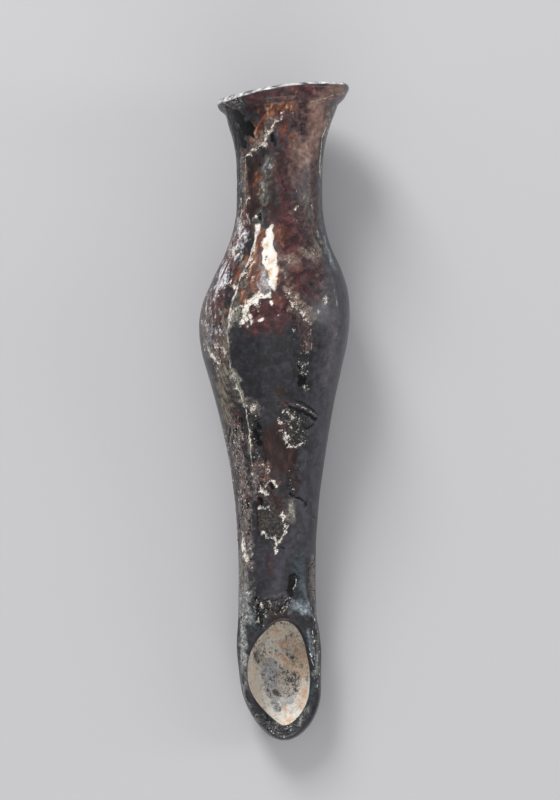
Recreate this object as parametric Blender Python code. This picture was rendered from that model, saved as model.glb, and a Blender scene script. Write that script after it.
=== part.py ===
"""Hand-blown glass medical pipe: a flared mouth, a swollen bulb, and a tube whose closed, spoon-like end has an oval
opening in its upper side.

The pipe is modelled in its own frame (x across, "along" from the closed end to the mouth, "front" towards the side with
the opening), then laid on its back on the ground, where it rests on two small flats: one under the bulb and one under
the bowl. Units are metres.
"""

import math

import bmesh
import bpy
import numpy as np
from mathutils import Matrix, Vector

MM = 0.001

# Driving sizes. The positions run from the closed end (0) to the middle of the mouth's rim.
PIPE_LENGTH = 147.2 * MM
BOWL_START = 38 * MM

# (position, outer radius) of the round part, from the start of the bowl to the mouth, in millimetres.
OUTER_RADIUS = (
    (38, 8.8), (46, 9.0), (56, 9.8), (66, 11.3), (76, 13.3), (84, 15.3), (90, 16.8), (95.5, 17.3), (101, 16.7),
    (106.5, 14.7), (112, 12.1), (117.5, 10.45), (123, 9.85), (130, 9.9), (135, 10.35), (139, 11.3), (142, 12.3),
    (145, 13.2), (147.2, 14.3),
)
# (position, sideways drift of the centre line): the hand-made pipe isn't quite straight.
CENTRE_DRIFT = (
    (0, 1.8), (4.5, 1.7), (8, 1.36), (12, 0.95), (16, 0.7), (20, 0.48), (27, 0.2), (38, 0), (60, 0), (80, -0.4),
    (95, -0.6), (108, 0), (120, 0.5), (132, 0.7), (147.2, 1.35),
)
# (position, degrees): the hoops of the bulb and the mouth lean to the left.
HOOP_LEAN = ((38, 0), (55, 0), (95, 4.5), (125, 5.5), (147.2, 8.7))
# (position, thickness) of the wall.
WALL = ((38, 1.6), (60, 1.5), (95, 1.3), (130, 1.3), (147.2, 1.3))
# The mouth's edge is folded outwards: how far the fold stands out on the left and on the right, and how high it is.
FOLD_LEFT = 0.75 * MM
FOLD_RIGHT = 0.9 * MM
FOLD_HEIGHT_LEFT = 1.3 * MM
FOLD_HEIGHT_RIGHT = 2.2 * MM
# (degrees round the mouth from its right side over its front, rise): the edge isn't quite flat. The rise fades out over
# the last part of the tube.
EDGE_RISE = ((0, -0.95), (40, -0.75), (75, -0.05), (105, 0.15), (180, -0.15), (270, 0), (320, -0.75), (360, -0.95))
EDGE_REACH = 8 * MM

# The bowl: the rim of the opening is an egg-shaped oval on a plane that slopes down towards the closed end.
RIM_HALF_WIDTH = 8.9 * MM
# (height in the oval from its low end at -1 to its high end at 1, value): the share by which the oval is narrower there
# than an ellipse, and how far it shifts to the right.
RIM_PINCH = ((-1, 0.13), (-0.7, 0.06), (-0.3, 0), (0.2, 0), (0.46, 0.045), (0.65, 0.1), (0.85, 0.18), (1, 0.22))
RIM_SHIFT = ((-1, -0.15), (-0.4, 0), (0.2, 0), (0.46, 0.1), (0.65, 0.5), (0.85, 1.1), (1, 1.3))
RIM_LOW_END = 0.2 * MM
RIM_HIGH_END = 28 * MM
RIM_LOW_FRONT = 2.4 * MM
RIM_HIGH_FRONT = 5.0 * MM
# (degrees round the opening from its right side over its upper end, thickness) of the glass at the rim.
RIM_WALL = ((0, 2.2), (45, 1.8), (90, 1.7), (140, 1.5), (180, 1.5), (205, 2.1), (235, 3.1), (270, 3.2), (315, 2.8),
            (360, 2.2))

# How much of the round sides is ground away where the pipe rests.
GROUND_FLAT = 0.3 * MM

# Mesh density.
SIDES = 32
TUBE_HOOPS = 38
BOWL_HOOPS = 14
LIP_HOOPS = 3


def through(stations, at):
    """Smooth curve through (place, value) pairs that turns back only at its own points, read at some places."""
    spots, values = np.array(stations, float).T
    run, rise = np.diff(spots), np.diff(values)
    chord = rise / run
    slope = np.concatenate(([chord[0]], (chord[1:] + chord[:-1]) / 2, [chord[-1]]))
    turning = np.concatenate(([False], chord[1:] * chord[:-1] <= 0, [False]))
    slope[turning] = 0
    at = np.clip(at, spots[0], spots[-1])
    i = np.clip(np.searchsorted(spots, at, side="right") - 1, 0, len(run) - 1)
    s = (at - spots[i]) / run[i]
    start, end = (1 + 2 * s) * (1 - s) ** 2, s**2 * (3 - 2 * s)
    leave, arrive = s * (1 - s) ** 2, s**2 * (s - 1)
    return start * values[i] + end * values[i + 1] + run[i] * (leave * slope[i] + arrive * slope[i + 1])


def smoothstep(low, high, value):
    """0 below low, 1 above high, and a smooth rise between them."""
    s = np.clip((value - low) / (high - low), 0, 1)
    return s * s * (3 - 2 * s)


def around(back, side, front, height):
    """A value that goes smoothly from the back of the pipe (height -1) past its sides (0) to its front (1)."""
    return side + (front - side) * smoothstep(0, 1, height) + (back - side) * smoothstep(0, 1, -height)


def unit(vectors):
    """The vectors at length 1."""
    return vectors / np.linalg.norm(vectors, axis=-1, keepdims=True)


def bowl_skin(share, angles):
    """Points of the bowl's outer skin: share 0 is the hoop where the bowl starts, and 1 the rim of the opening. Each
    lengthwise line is a cubic curve that leaves the tube straight and meets the rim rising or, at the opening's
    upper end, reaching inwards and a little down."""
    height = np.sin(angles)
    across = np.cos(angles)
    centre = (RIM_HIGH_END + RIM_LOW_END) / 2
    half_length = (RIM_HIGH_END - RIM_LOW_END) / 2
    rim_along = centre + half_length * height
    rim_front = RIM_LOW_FRONT + (RIM_HIGH_FRONT - RIM_LOW_FRONT) * (height + 1) / 2
    half_width = RIM_HALF_WIDTH * (1 - through(RIM_PINCH, height))
    rim_across = MM * (through(CENTRE_DRIFT, rim_along / MM) + through(RIM_SHIFT, height)) + half_width * across
    rim = np.stack([rim_across, rim_along, rim_front], -1)
    radius = MM * through(OUTER_RADIUS, BOWL_START / MM)
    start = np.stack([radius * across, np.full_like(across, BOWL_START), radius * height], -1)
    inwards = -unit(np.stack([across / RIM_HALF_WIDTH, height / half_length, np.zeros_like(across)], -1))
    reach = smoothstep(-0.1, 1, height)[:, None]
    arrival = unit((0.25 + 0.75 * reach) * inwards + (1 - 1.32 * reach) * np.array([0, 0, 1]))
    leave = around(0.87, 0.6, 0.4, height) * (BOWL_START - rim_along)
    arrive = around(10.6 * MM, 4.4 * MM, 4.0 * MM, height)
    belly = around(-0.5 * MM, 0, 0, height)
    first = start + np.stack([np.zeros_like(across), -leave, belly], -1)
    second = rim - arrival * arrive[:, None]
    rest = 1 - share
    return rest**3 * start + 3 * rest**2 * share * first + 3 * rest * share**2 * second + share**3 * rim


def fold(along, angles):
    """How far the folded edge of the mouth stands out."""
    right = smoothstep(-0.8, 1, np.cos(angles))
    low = PIPE_LENGTH - FOLD_HEIGHT_LEFT - (FOLD_HEIGHT_RIGHT - FOLD_HEIGHT_LEFT) * right
    return smoothstep(low - 1.2 * MM, low + 0.6 * MM, along) * (FOLD_LEFT + (FOLD_RIGHT - FOLD_LEFT) * right)


def tube_skin(along, angles):
    """Points of one outer hoop of the tube, bulb, neck or mouth."""
    radius = (MM * through(OUTER_RADIUS, along / MM) + fold(along, angles))[:, None]
    lean = math.radians(through(HOOP_LEAN, along / MM))
    sideways = np.array([math.cos(lean), math.sin(lean), 0])
    centre = np.array([MM * through(CENTRE_DRIFT, along / MM), along, 0])
    rise = MM * through(EDGE_RISE, np.degrees(angles)) * smoothstep(PIPE_LENGTH - EDGE_REACH, PIPE_LENGTH, along)
    round_it = np.cos(angles)[:, None] * sideways + np.sin(angles)[:, None] * [0, 0, 1]
    return centre + radius * round_it + rise[:, None] * [0, 1, 0]


def hoop_positions(count):
    """Positions along the tube from the mouth to the start of the bowl, closer together in the flare."""
    fine = np.linspace(PIPE_LENGTH, BOWL_START, 400)
    weight = 1 + 2.5 * np.exp((fine - PIPE_LENGTH) / (6 * MM))
    travelled = np.concatenate(([0], np.cumsum((weight[1:] + weight[:-1]) / 2)))
    return np.interp(np.linspace(0, travelled[-1], count), travelled, fine)


def outer_skin():
    """(points, wall): the outer skin as rows of hoops from the mouth to the opening, and the wall's thickness there."""
    angles = np.arange(SIDES) * math.tau / SIDES
    positions = hoop_positions(TUBE_HOOPS)
    shares = np.linspace(0, 1, BOWL_HOOPS + 1)[1:]
    hoops = [tube_skin(along, angles) for along in positions] + [bowl_skin(share, angles) for share in shares]
    tube_wall = [MM * through(WALL, along / MM) + fold(along, angles) for along in positions]
    plain = MM * WALL[0][1]
    rim_wall = MM * through(RIM_WALL, np.degrees(angles))
    bowl_wall = plain + (rim_wall - plain) * shares[:, None] ** 3
    return np.array(hoops), np.concatenate([tube_wall, bowl_wall])


def skin_directions(skin):
    """(normals, lengthwise directions) of a skin of hoops. The normals point away from the inside."""
    lengthwise = unit(np.gradient(skin, axis=0))
    round_it = unit(np.roll(skin, -1, 1) - np.roll(skin, 1, 1))
    return unit(np.cross(round_it, lengthwise)), lengthwise


def lip(edge, normal, outwards, wall):
    """Hoops of a rounded lip, from the outer skin's edge over to the inner one's."""
    middle = edge - normal * wall[:, None] / 2
    turns = np.linspace(0, math.pi, LIP_HOOPS + 2)[1:-1]
    return [middle + (normal * math.cos(turn) + outwards * math.sin(turn)) * wall[:, None] / 2 for turn in turns]


def all_hoops():
    """Every hoop of the glass, in one closed circuit: down the outside, over the opening's lip, up the inside, and
    over the mouth's lip."""
    skin, wall = outer_skin()
    normals, lengthwise = skin_directions(skin)
    inside = skin - normals * wall[:, :, None]
    opening = lip(skin[-1], normals[-1], lengthwise[-1], wall[-1])
    mouth = lip(skin[0], normals[0], -lengthwise[0], wall[0])
    return [*skin, *opening, *inside[::-1], *mouth[::-1]]


def lowest_front(points, tilt, along_from, along_to):
    """The lowest height of the points between two positions, once the pipe's mouth is raised by tilt."""
    chosen = points[(points[:, 1] >= along_from) & (points[:, 1] <= along_to)]
    return (chosen[:, 2] * math.cos(tilt) + chosen[:, 1] * math.sin(tilt)).min()


def resting_tilt(points):
    """The angle at which the bulb and the bowl both touch the ground."""
    middle = (BOWL_START + PIPE_LENGTH) / 2
    low, high = 0.0, math.radians(15)
    for _ in range(40):
        tilt = (low + high) / 2
        bulb = lowest_front(points, tilt, middle - 30 * MM, PIPE_LENGTH)
        bowl = lowest_front(points, tilt, 0, BOWL_START)
        low, high = (tilt, high) if bulb < bowl else (low, tilt)
    return tilt


def laid_down(hoops):
    """Matrix that lays the pipe on its back, at rest, sunk by what is ground away."""
    points = np.concatenate(hoops)
    tilt = resting_tilt(points)
    turn = Matrix.Rotation(tilt, 4, "X")
    sunk = lowest_front(points, tilt, 0, PIPE_LENGTH) + GROUND_FLAT
    return Matrix.Translation((0, 0, -sunk)) @ turn


def glass_material():
    """Dark wine-brown glass under a grey burial film."""
    material = bpy.data.materials.new("weathered_glass")
    material.use_nodes = True
    shader = material.node_tree.nodes["Principled BSDF"]
    shader.inputs["Base Color"].default_value = (0.055, 0.045, 0.05, 1)
    shader.inputs["Roughness"].default_value = 0.28
    shader.inputs["Metallic"].default_value = 0.0
    shader.inputs["IOR"].default_value = 1.52
    return material


def new_object(name, bm):
    """The bmesh as an object in the scene."""
    mesh = bpy.data.meshes.new(name)
    bm.to_mesh(mesh)
    bm.free()
    thing = bpy.data.objects.new(name, mesh)
    bpy.context.scene.collection.objects.link(thing)
    return thing


def make_pipe():
    """The one piece of glass: hoops bridged into a closed wall."""
    hoops = all_hoops()
    bm = bmesh.new()
    rows = [[bm.verts.new(point) for point in hoop] for hoop in hoops]
    for here, there in zip(rows, rows[1:] + rows[:1]):
        for side in range(SIDES):
            after = (side + 1) % SIDES
            bm.faces.new((here[side], here[after], there[after], there[side]))
    bmesh.ops.recalc_face_normals(bm, faces=bm.faces)
    bmesh.ops.transform(bm, matrix=laid_down(hoops), verts=bm.verts)
    pipe = new_object("pipe", bm)
    pipe.data.shade_smooth()
    pipe.data.set_sharp_from_angle(angle=math.radians(50))
    pipe.data.materials.append(glass_material())
    return pipe


def grind_flats(pipe):
    """Cuts the wall off level where it would sink into the ground."""
    bm = bmesh.new()
    bmesh.ops.create_cube(bm, size=1)
    thickness = 10 * MM
    size = Matrix.Diagonal((0.1, 0.3, thickness, 1))
    bmesh.ops.transform(bm, matrix=Matrix.Translation((0, PIPE_LENGTH / 2, -thickness / 2)) @ size, verts=bm.verts)
    ground = new_object("ground_cutter", bm)
    ground.hide_render = True
    ground.display_type = "WIRE"
    cut = pipe.modifiers.new("ground flats", "BOOLEAN")
    cut.operation = "DIFFERENCE"
    cut.object = ground
    return ground


def centre_on_footprint(pipe, ground):
    """Moves the pipe so that the origin is in the middle of its footprint, at ground level."""
    corners = [Vector(corner) for corner in pipe.bound_box]
    middle = (corners[0] + corners[6]) / 2
    for thing in (pipe, ground):
        thing.location = (-middle.x, -middle.y, 0)


def main():
    for thing in list(bpy.data.objects):
        bpy.data.objects.remove(thing)
    pipe = make_pipe()
    ground = grind_flats(pipe)
    centre_on_footprint(pipe, ground)


if __name__ == "__main__":
    main()
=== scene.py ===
"""Visual model of a hand-blown glass medical pipe that has lain in the ground for centuries.

The pipe is one hollow piece of dark glass with a flared mouth, a swollen bulb and a closed, spoon-like end with an oval
opening. Its surface is a patchwork of burial film, flaked crust, pits and chips, with some highlights, sheen and glints
painted into its colour. Sizes are in millimetres in the pipe's own frame: "across" to the right, "along" from the
closed end to the mouth, and "front" towards the opening's side.
"""

from __future__ import annotations

import logging
import math
from dataclasses import dataclass, field
from enum import Enum
from typing import Any, Iterable, Sequence

import bpy
import numpy as np
from mathutils import Matrix, Vector

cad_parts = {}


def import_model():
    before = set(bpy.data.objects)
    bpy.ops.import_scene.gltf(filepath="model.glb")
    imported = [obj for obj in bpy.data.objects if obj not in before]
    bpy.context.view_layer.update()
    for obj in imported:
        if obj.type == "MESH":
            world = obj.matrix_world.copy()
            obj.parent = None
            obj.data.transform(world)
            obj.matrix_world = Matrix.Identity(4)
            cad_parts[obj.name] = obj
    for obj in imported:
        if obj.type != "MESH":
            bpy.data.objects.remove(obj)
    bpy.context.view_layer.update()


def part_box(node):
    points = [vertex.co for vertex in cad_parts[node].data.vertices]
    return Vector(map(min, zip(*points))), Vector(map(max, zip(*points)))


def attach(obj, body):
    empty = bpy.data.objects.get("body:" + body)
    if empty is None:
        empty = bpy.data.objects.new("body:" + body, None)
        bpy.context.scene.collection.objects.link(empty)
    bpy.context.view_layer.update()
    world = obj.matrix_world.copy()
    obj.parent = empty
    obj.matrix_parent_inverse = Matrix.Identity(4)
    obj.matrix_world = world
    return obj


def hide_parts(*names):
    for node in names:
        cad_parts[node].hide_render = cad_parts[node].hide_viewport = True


LOG = logging.getLogger("pipe")
MM = 0.001
NODE = "pipe"
BODY = "root"
EYE_DISTANCE = 900.0
EYE_MIDDLE = (0.7, 77.7)
NOWHERE = -9.0
FAR = 99.0
TINY = 1e-9

Node = bpy.types.Node
Socket = bpy.types.NodeSocket
Tree = bpy.types.NodeTree
Thing = bpy.types.Object
Material = bpy.types.Material
Point = tuple[float, float]
Triple = tuple[float, float, float]
Stops = tuple[tuple[float, Triple], ...]


# ---- Shape ----


@dataclass(frozen=True)
class Profile:
    """A smooth curve through (place, value) pairs that turns back only at its own points."""

    pairs: tuple[Point, ...]

    def at(self, places: Any) -> np.ndarray:
        """Reads the curve.

        Args:
            places: One place or an array of them.

        Returns:
            The values there. Places past an end get the end's value.
        """
        spots, values = np.array(self.pairs, float).T
        run, rise = np.diff(spots), np.diff(values)
        chord = rise / run
        slope = np.concatenate(([chord[0]], (chord[1:] + chord[:-1]) / 2, [chord[-1]]))
        slope[1:-1][chord[1:] * chord[:-1] <= 0] = 0
        places = np.clip(places, spots[0], spots[-1])
        i = np.clip(np.searchsorted(spots, places, side="right") - 1, 0, len(run) - 1)
        s = (places - spots[i]) / run[i]
        ends = (1 + 2 * s) * (1 - s) ** 2 * values[i] + s**2 * (3 - 2 * s) * values[i + 1]
        return ends + run[i] * (s * (1 - s) ** 2 * slope[i] + s**2 * (s - 1) * slope[i + 1])


def smoothstep(low: float, high: float, value: Any) -> np.ndarray:
    """0 at low, 1 at high, and a smooth change between them."""
    s = np.clip((np.asarray(value, float) - low) / (high - low), 0, 1)
    return s * s * (3 - 2 * s)


def around(back: float, side: float, front: float, height: np.ndarray) -> np.ndarray:
    """A value that goes smoothly from the pipe's back (height -1) past its sides (0) to its front (1)."""
    return side + (front - side) * smoothstep(0, 1, height) + (back - side) * smoothstep(0, 1, -height)


def unit(vectors: np.ndarray) -> np.ndarray:
    """The vectors at length 1."""
    return vectors / np.linalg.norm(vectors, axis=-1, keepdims=True)


def gap_to_line(x: np.ndarray, y: np.ndarray, line_x: Sequence[Any], line_y: Sequence[Any]) -> np.ndarray:
    """How far points are from a line of straight runs.

    Args:
        x: The points' places across.
        y: The points' places along.
        line_x: The same for the line's corners. Each can be an array, with its own number for every point.
        line_y: The corners' places along.

    Returns:
        The shortest distance for each point.
    """
    gap = np.full(len(x), FAR)
    for x0, y0, x1, y1 in zip(line_x, line_y, line_x[1:], line_y[1:]):
        dx, dy = x1 - x0, y1 - y0
        share = np.clip(((x - x0) * dx + (y - y0) * dy) / (dx * dx + dy * dy + TINY), 0, 1)
        gap = np.minimum(gap, np.hypot(x - x0 - share * dx, y - y0 - share * dy))
    return gap


class Part(Enum):
    """Which part of the wall a point of the glass is on, in the order of the hoops."""

    OUTSIDE = 0
    OPENING_LIP = 1
    INSIDE = 2
    MOUTH_LIP = 3


@dataclass(frozen=True)
class Faces:
    """Both faces of the wall, as hoops from the mouth to the opening, and its thickness and directions there."""

    outer: np.ndarray
    inner: np.ndarray
    wall: np.ndarray
    lengthwise: np.ndarray
    normal: np.ndarray


@dataclass(frozen=True)
class Skin:
    """Hoops of points, with what the patterns need to know about each point."""

    points: np.ndarray
    part: np.ndarray
    from_mouth: np.ndarray

    @property
    def flat(self) -> np.ndarray:
        """All points as one list."""
        return self.points.reshape(-1, 3)


@dataclass(frozen=True)
class PipeForm:
    """The smooth form of the glass, as it left the blower's iron."""

    length: float = 147.2
    bowl_start: float = 38.0
    radius: Profile = Profile((
        (38, 8.8), (46, 9.0), (56, 9.8), (66, 11.3), (76, 13.3), (84, 15.3), (90, 16.8), (95.5, 17.3), (101, 16.7),
        (106.5, 14.7), (112, 12.1), (117.5, 10.45), (123, 9.85), (130, 9.9), (135, 10.35), (139, 11.3), (142, 12.3),
        (145, 13.2), (147.2, 14.3),
    ))
    bowl_radius: Profile = Profile(((0, 4.0), (4.5, 6.6), (8, 8.2), (12, 9.2), (16, 9.5), (24, 9.3), (38, 8.8)))
    drift: Profile = Profile((
        (0, 1.8), (4.5, 1.7), (8, 1.36), (12, 0.95), (16, 0.7), (20, 0.48), (27, 0.2), (38, 0), (60, 0), (80, -0.4),
        (95, -0.6), (108, 0), (120, 0.5), (132, 0.7), (147.2, 1.35),
    ))
    lean: Profile = Profile(((38, 0), (55, 0), (95, 4.5), (125, 5.5), (147.2, 8.7)))
    wall: Profile = Profile(((38, 1.6), (60, 1.5), (95, 1.3), (130, 1.3), (147.2, 1.3)))
    rim_wall: Profile = Profile((
        (0, 2.2), (45, 1.8), (90, 1.7), (140, 1.5), (180, 1.5), (205, 2.1), (235, 3.1), (270, 3.2), (315, 2.8),
        (360, 2.2),
    ))
    fold_left: float = 0.75
    fold_right: float = 0.9
    fold_height_left: float = 1.3
    fold_height_right: float = 2.2
    fold_side: float = -0.8
    fold_below: float = 1.2
    fold_rise: float = 1.8
    edge_rise: Profile = Profile((
        (0, -0.95), (40, -0.75), (75, -0.05), (105, 0.15), (180, -0.15), (270, 0), (320, -0.75), (360, -0.95),
    ))
    edge_reach: float = 8.0
    rim_half_width: float = 8.9
    rim_pinch: Profile = Profile((
        (-1, 0.13), (-0.7, 0.06), (-0.3, 0), (0.2, 0), (0.46, 0.045), (0.65, 0.1), (0.85, 0.18), (1, 0.22),
    ))
    rim_shift: Profile = Profile((
        (-1, -0.15), (-0.4, 0), (0.2, 0), (0.46, 0.1), (0.65, 0.5), (0.85, 1.1), (1, 1.3),
    ))
    rim_low: Point = (0.2, 2.4)
    rim_high: Point = (28.0, 5.0)
    tuck: float = 1.32
    tuck_start: float = -0.1
    inwards_at_tip: float = 0.25
    tube_pull: Triple = (0.87, 0.6, 0.4)
    tube_sag: Triple = (-0.5, 0, 0)
    rim_pull: Triple = (10.6, 4.4, 4.0)
    tilt: float = math.radians(6.26)
    ground: float = 0.3
    sides: int = 176
    front_density: float = 0.5
    tube_hoops: int = 330
    flare_reach: float = 6.0
    bowl_hoops: int = 90
    lip_hoops: int = 8
    inner_step: int = 4
    lining_low: float = 0.93
    lining_high: float = 50.0

    def angles(self) -> np.ndarray:
        """Angles round a hoop, in radians from the right side, closer together at the front."""
        even = np.arange(self.sides) * math.tau / self.sides
        return math.pi / 2 + even - self.front_density * np.sin(even)

    def bowl_hoop(self, share: float, angles: np.ndarray) -> np.ndarray:
        """One hoop of the bowl.

        Args:
            share: 0 where the bowl starts, 1 at the rim of the opening.
            angles: Angles round the hoop.

        Returns:
            The hoop's points, on a curve for each angle that leaves the tube's end and arrives at the rim.
        """
        height, across = np.sin(angles), np.cos(angles)
        half = (self.rim_high[0] - self.rim_low[0]) / 2
        along = self.rim_low[0] + half * (1 + height)
        front = self.rim_low[1] + (self.rim_high[1] - self.rim_low[1]) * (height + 1) / 2
        half_width = self.rim_half_width * (1 - self.rim_pinch.at(height))
        rim = np.stack([self.drift.at(along) + self.rim_shift.at(height) + half_width * across, along, front], -1)
        start_radius = float(self.radius.at(self.bowl_start))
        start = np.stack([start_radius * across, np.full_like(across, self.bowl_start), start_radius * height], -1)
        inwards = -unit(np.stack([across / self.rim_half_width, height / half, np.zeros_like(across)], -1))
        reach = smoothstep(self.tuck_start, 1, height)[:, None]
        flat = (self.inwards_at_tip + (1 - self.inwards_at_tip) * reach) * inwards
        arrival = unit(flat + (1 - self.tuck * reach) * np.array([0, 0, 1]))
        leave = around(*self.tube_pull, height) * (self.bowl_start - along)
        first = start + np.stack([np.zeros_like(across), -leave, around(*self.tube_sag, height)], -1)
        second = rim - arrival * around(*self.rim_pull, height)[:, None]
        rest = 1 - share
        return rest**3 * start + 3 * rest**2 * share * first + 3 * rest * share**2 * second + share**3 * rim

    def fold(self, along: float, angles: np.ndarray) -> np.ndarray:
        """The folded edge of the mouth.

        Args:
            along: The place along the pipe.
            angles: Angles round the hoop.

        Returns:
            How far it stands out at each angle.
        """
        right = smoothstep(self.fold_side, 1, np.cos(angles))
        low = self.length - self.fold_height_left - (self.fold_height_right - self.fold_height_left) * right
        rise = smoothstep(0, 1, (along - low + self.fold_below) / self.fold_rise)
        return rise * (self.fold_left + (self.fold_right - self.fold_left) * right)

    def tube_hoop(self, along: float, angles: np.ndarray) -> np.ndarray:
        """One hoop of the tube, the bulb, the neck or the mouth.

        Args:
            along: The place along the pipe.
            angles: Angles round the hoop.

        Returns:
            The hoop's points.
        """
        radius = (self.radius.at(along) + self.fold(along, angles))[:, None]
        lean = math.radians(float(self.lean.at(along)))
        sideways = np.array([math.cos(lean), math.sin(lean), 0])
        centre = np.array([float(self.drift.at(along)), along, 0])
        near_edge = smoothstep(self.length - self.edge_reach, self.length, along)
        rise = self.edge_rise.at(np.degrees(angles) % 360) * near_edge
        round_it = np.cos(angles)[:, None] * sideways + np.sin(angles)[:, None] * [0, 0, 1]
        return centre + radius * round_it + rise[:, None] * [0, 1, 0]

    def hoop_places(self, steps: int = 800) -> np.ndarray:
        """Where the tube's hoops are.

        Args:
            steps: How finely their spacing is worked out.

        Returns:
            Places from the mouth down, closer together in the flare.
        """
        fine = np.linspace(self.length, self.bowl_start, steps)
        weight = 1 + np.exp((fine - self.length) / self.flare_reach)
        travelled = np.concatenate(([0], np.cumsum((weight[1:] + weight[:-1]) / 2)))
        return np.interp(np.linspace(0, travelled[-1], self.tube_hoops), travelled, fine)

    def faces(self) -> Faces:
        """Shapes the wall.

        Returns:
            Both faces of the wall, the bowl's included.
        """
        angles, places = self.angles(), self.hoop_places()
        shares = np.linspace(0, 1, self.bowl_hoops + 1)[1:]
        hoops = [self.tube_hoop(along, angles) for along in places]
        outer = np.array(hoops + [self.bowl_hoop(share, angles) for share in shares])
        tube_wall = [self.wall.at(along) + self.fold(along, angles) for along in places]
        plain = self.wall.pairs[0][1]
        rim_wall = self.rim_wall.at(np.degrees(angles) % 360)
        wall = np.concatenate([tube_wall, plain + (rim_wall - plain) * shares[:, None] ** 3])
        lengthwise = unit(np.gradient(outer, axis=0))
        normal = unit(np.cross(np.roll(outer, -1, 1) - np.roll(outer, 1, 1), lengthwise))
        return Faces(outer, outer - normal * wall[:, :, None], wall, lengthwise, normal)

    def lip_turns(self) -> np.ndarray:
        """How far over the lip each of its hoops is, in radians from the outer face."""
        return np.linspace(0, math.pi, self.lip_hoops + 2)[1:-1]

    def lip(self, edge: np.ndarray, normal: np.ndarray, outwards: np.ndarray, wall: np.ndarray) -> list[np.ndarray]:
        """Hoops of a rounded lip, from the outer face's edge over to the inner one's."""
        half, turns = wall[:, None] / 2, self.lip_turns()
        return [edge - normal * half + (normal * math.cos(turn) + outwards * math.sin(turn)) * half for turn in turns]

    def wall_skin(self) -> Skin:
        """The whole wall in one closed circuit of hoops.

        Returns:
            Hoops down the outside, over the opening's lip, up the inside and over the mouth's lip.
        """
        faces = self.faces()
        outer, inside, wall = faces.outer, faces.inner[::-1], faces.wall
        kept = [*range(0, len(inside) - 1, self.inner_step), len(inside) - 1]
        opening = self.lip(outer[-1], faces.normal[-1], faces.lengthwise[-1], wall[-1])
        mouth = self.lip(outer[0], faces.normal[0], -faces.lengthwise[0], wall[0])[::-1]
        hoops = np.array([*outer, *opening, *inside[kept], *mouth])
        part = np.repeat([p.value for p in Part], (len(outer), len(opening), len(kept), len(mouth)))
        steps = np.linalg.norm(np.diff(outer, axis=0), axis=2)
        down = np.concatenate([np.zeros((1, self.sides)), np.cumsum(steps, axis=0)])
        from_mouth = np.full(hoops.shape[:2], FAR)
        from_mouth[: len(outer)] = down + wall[0] * math.pi / 4
        from_mouth[-len(mouth):] = np.abs(self.lip_turns()[::-1, None] - math.pi / 2) * wall[0] / 2
        return Skin(hoops, np.repeat(part[:, None], self.sides, 1), from_mouth)

    def lining(self) -> tuple[np.ndarray, np.ndarray]:
        """The inner face of the bowl and the end of the tube, where deposits lie.

        Returns:
            Hoops from inside the tube to near the rim, and the directions away from the glass.
        """
        faces = self.faces()
        first = int(np.searchsorted(-self.hoop_places(), -self.lining_high))
        last = self.tube_hoops + round(self.bowl_hoops * self.lining_low)
        return faces.inner[first:last], -faces.normal[first:last]

    def placement(self) -> Matrix:
        """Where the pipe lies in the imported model, on its back.

        Returns:
            The matrix from the pipe's own frame, in millimetres.
        """
        low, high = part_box(NODE)
        turned = Matrix.Rotation(self.tilt, 4, "X") @ Matrix.Scale(MM, 4)
        placed = self.wall_skin().flat @ np.array(turned.to_3x3()).T
        middle = (placed.min(0) + placed.max(0)) / 2
        wanted = (np.array(low) + np.array(high)) / 2
        sunk = placed[:, 2].min() + self.ground * MM
        return Matrix.Translation((wanted[0] - middle[0], wanted[1] - middle[1], low[2] - sunk)) @ turned


# ---- Weathering, with some painted highlights and glints ----


class Grain(Enum):
    """The kinds of pattern that a patch of weathering can have."""

    CLOUDS = "clouds"
    CELLS = "cells"
    STREAKS = "streaks"


@dataclass(frozen=True)
class Layer:
    """How one kind of weathering looks and how it stands on the glass. Lengths are in millimetres.

    The colours follow a pattern of one grain, and scale says how fine it is. Streaks lean by some degrees. The edge is
    as wide as soft, and one channel of noise moves it, by ragged in broad waves and by dust in fine ones. Flecks and
    chips say how much of the patch they cover. Height and lumps are its relief, grit is its fine bump, and grains says
    how thickly loose grains lie on it. With less bend, it keeps nearer to its own line.
    """

    colours: Stops
    grain: Grain = Grain.CLOUDS
    scale: float = 1.0
    lean: float = 8.0
    rough: float = 0.4
    coat: float = 0.05
    soft: float = 0.5
    ragged: float = 1.0
    dust: float = 0.8
    channel: int = 0
    flecks: float = 0.04
    chips: float = 0.12
    height: float = 0.0
    lumps: float = 0.0
    grit: float = 0.4
    grains: float = 0.0
    bend: float = 1.0


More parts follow.
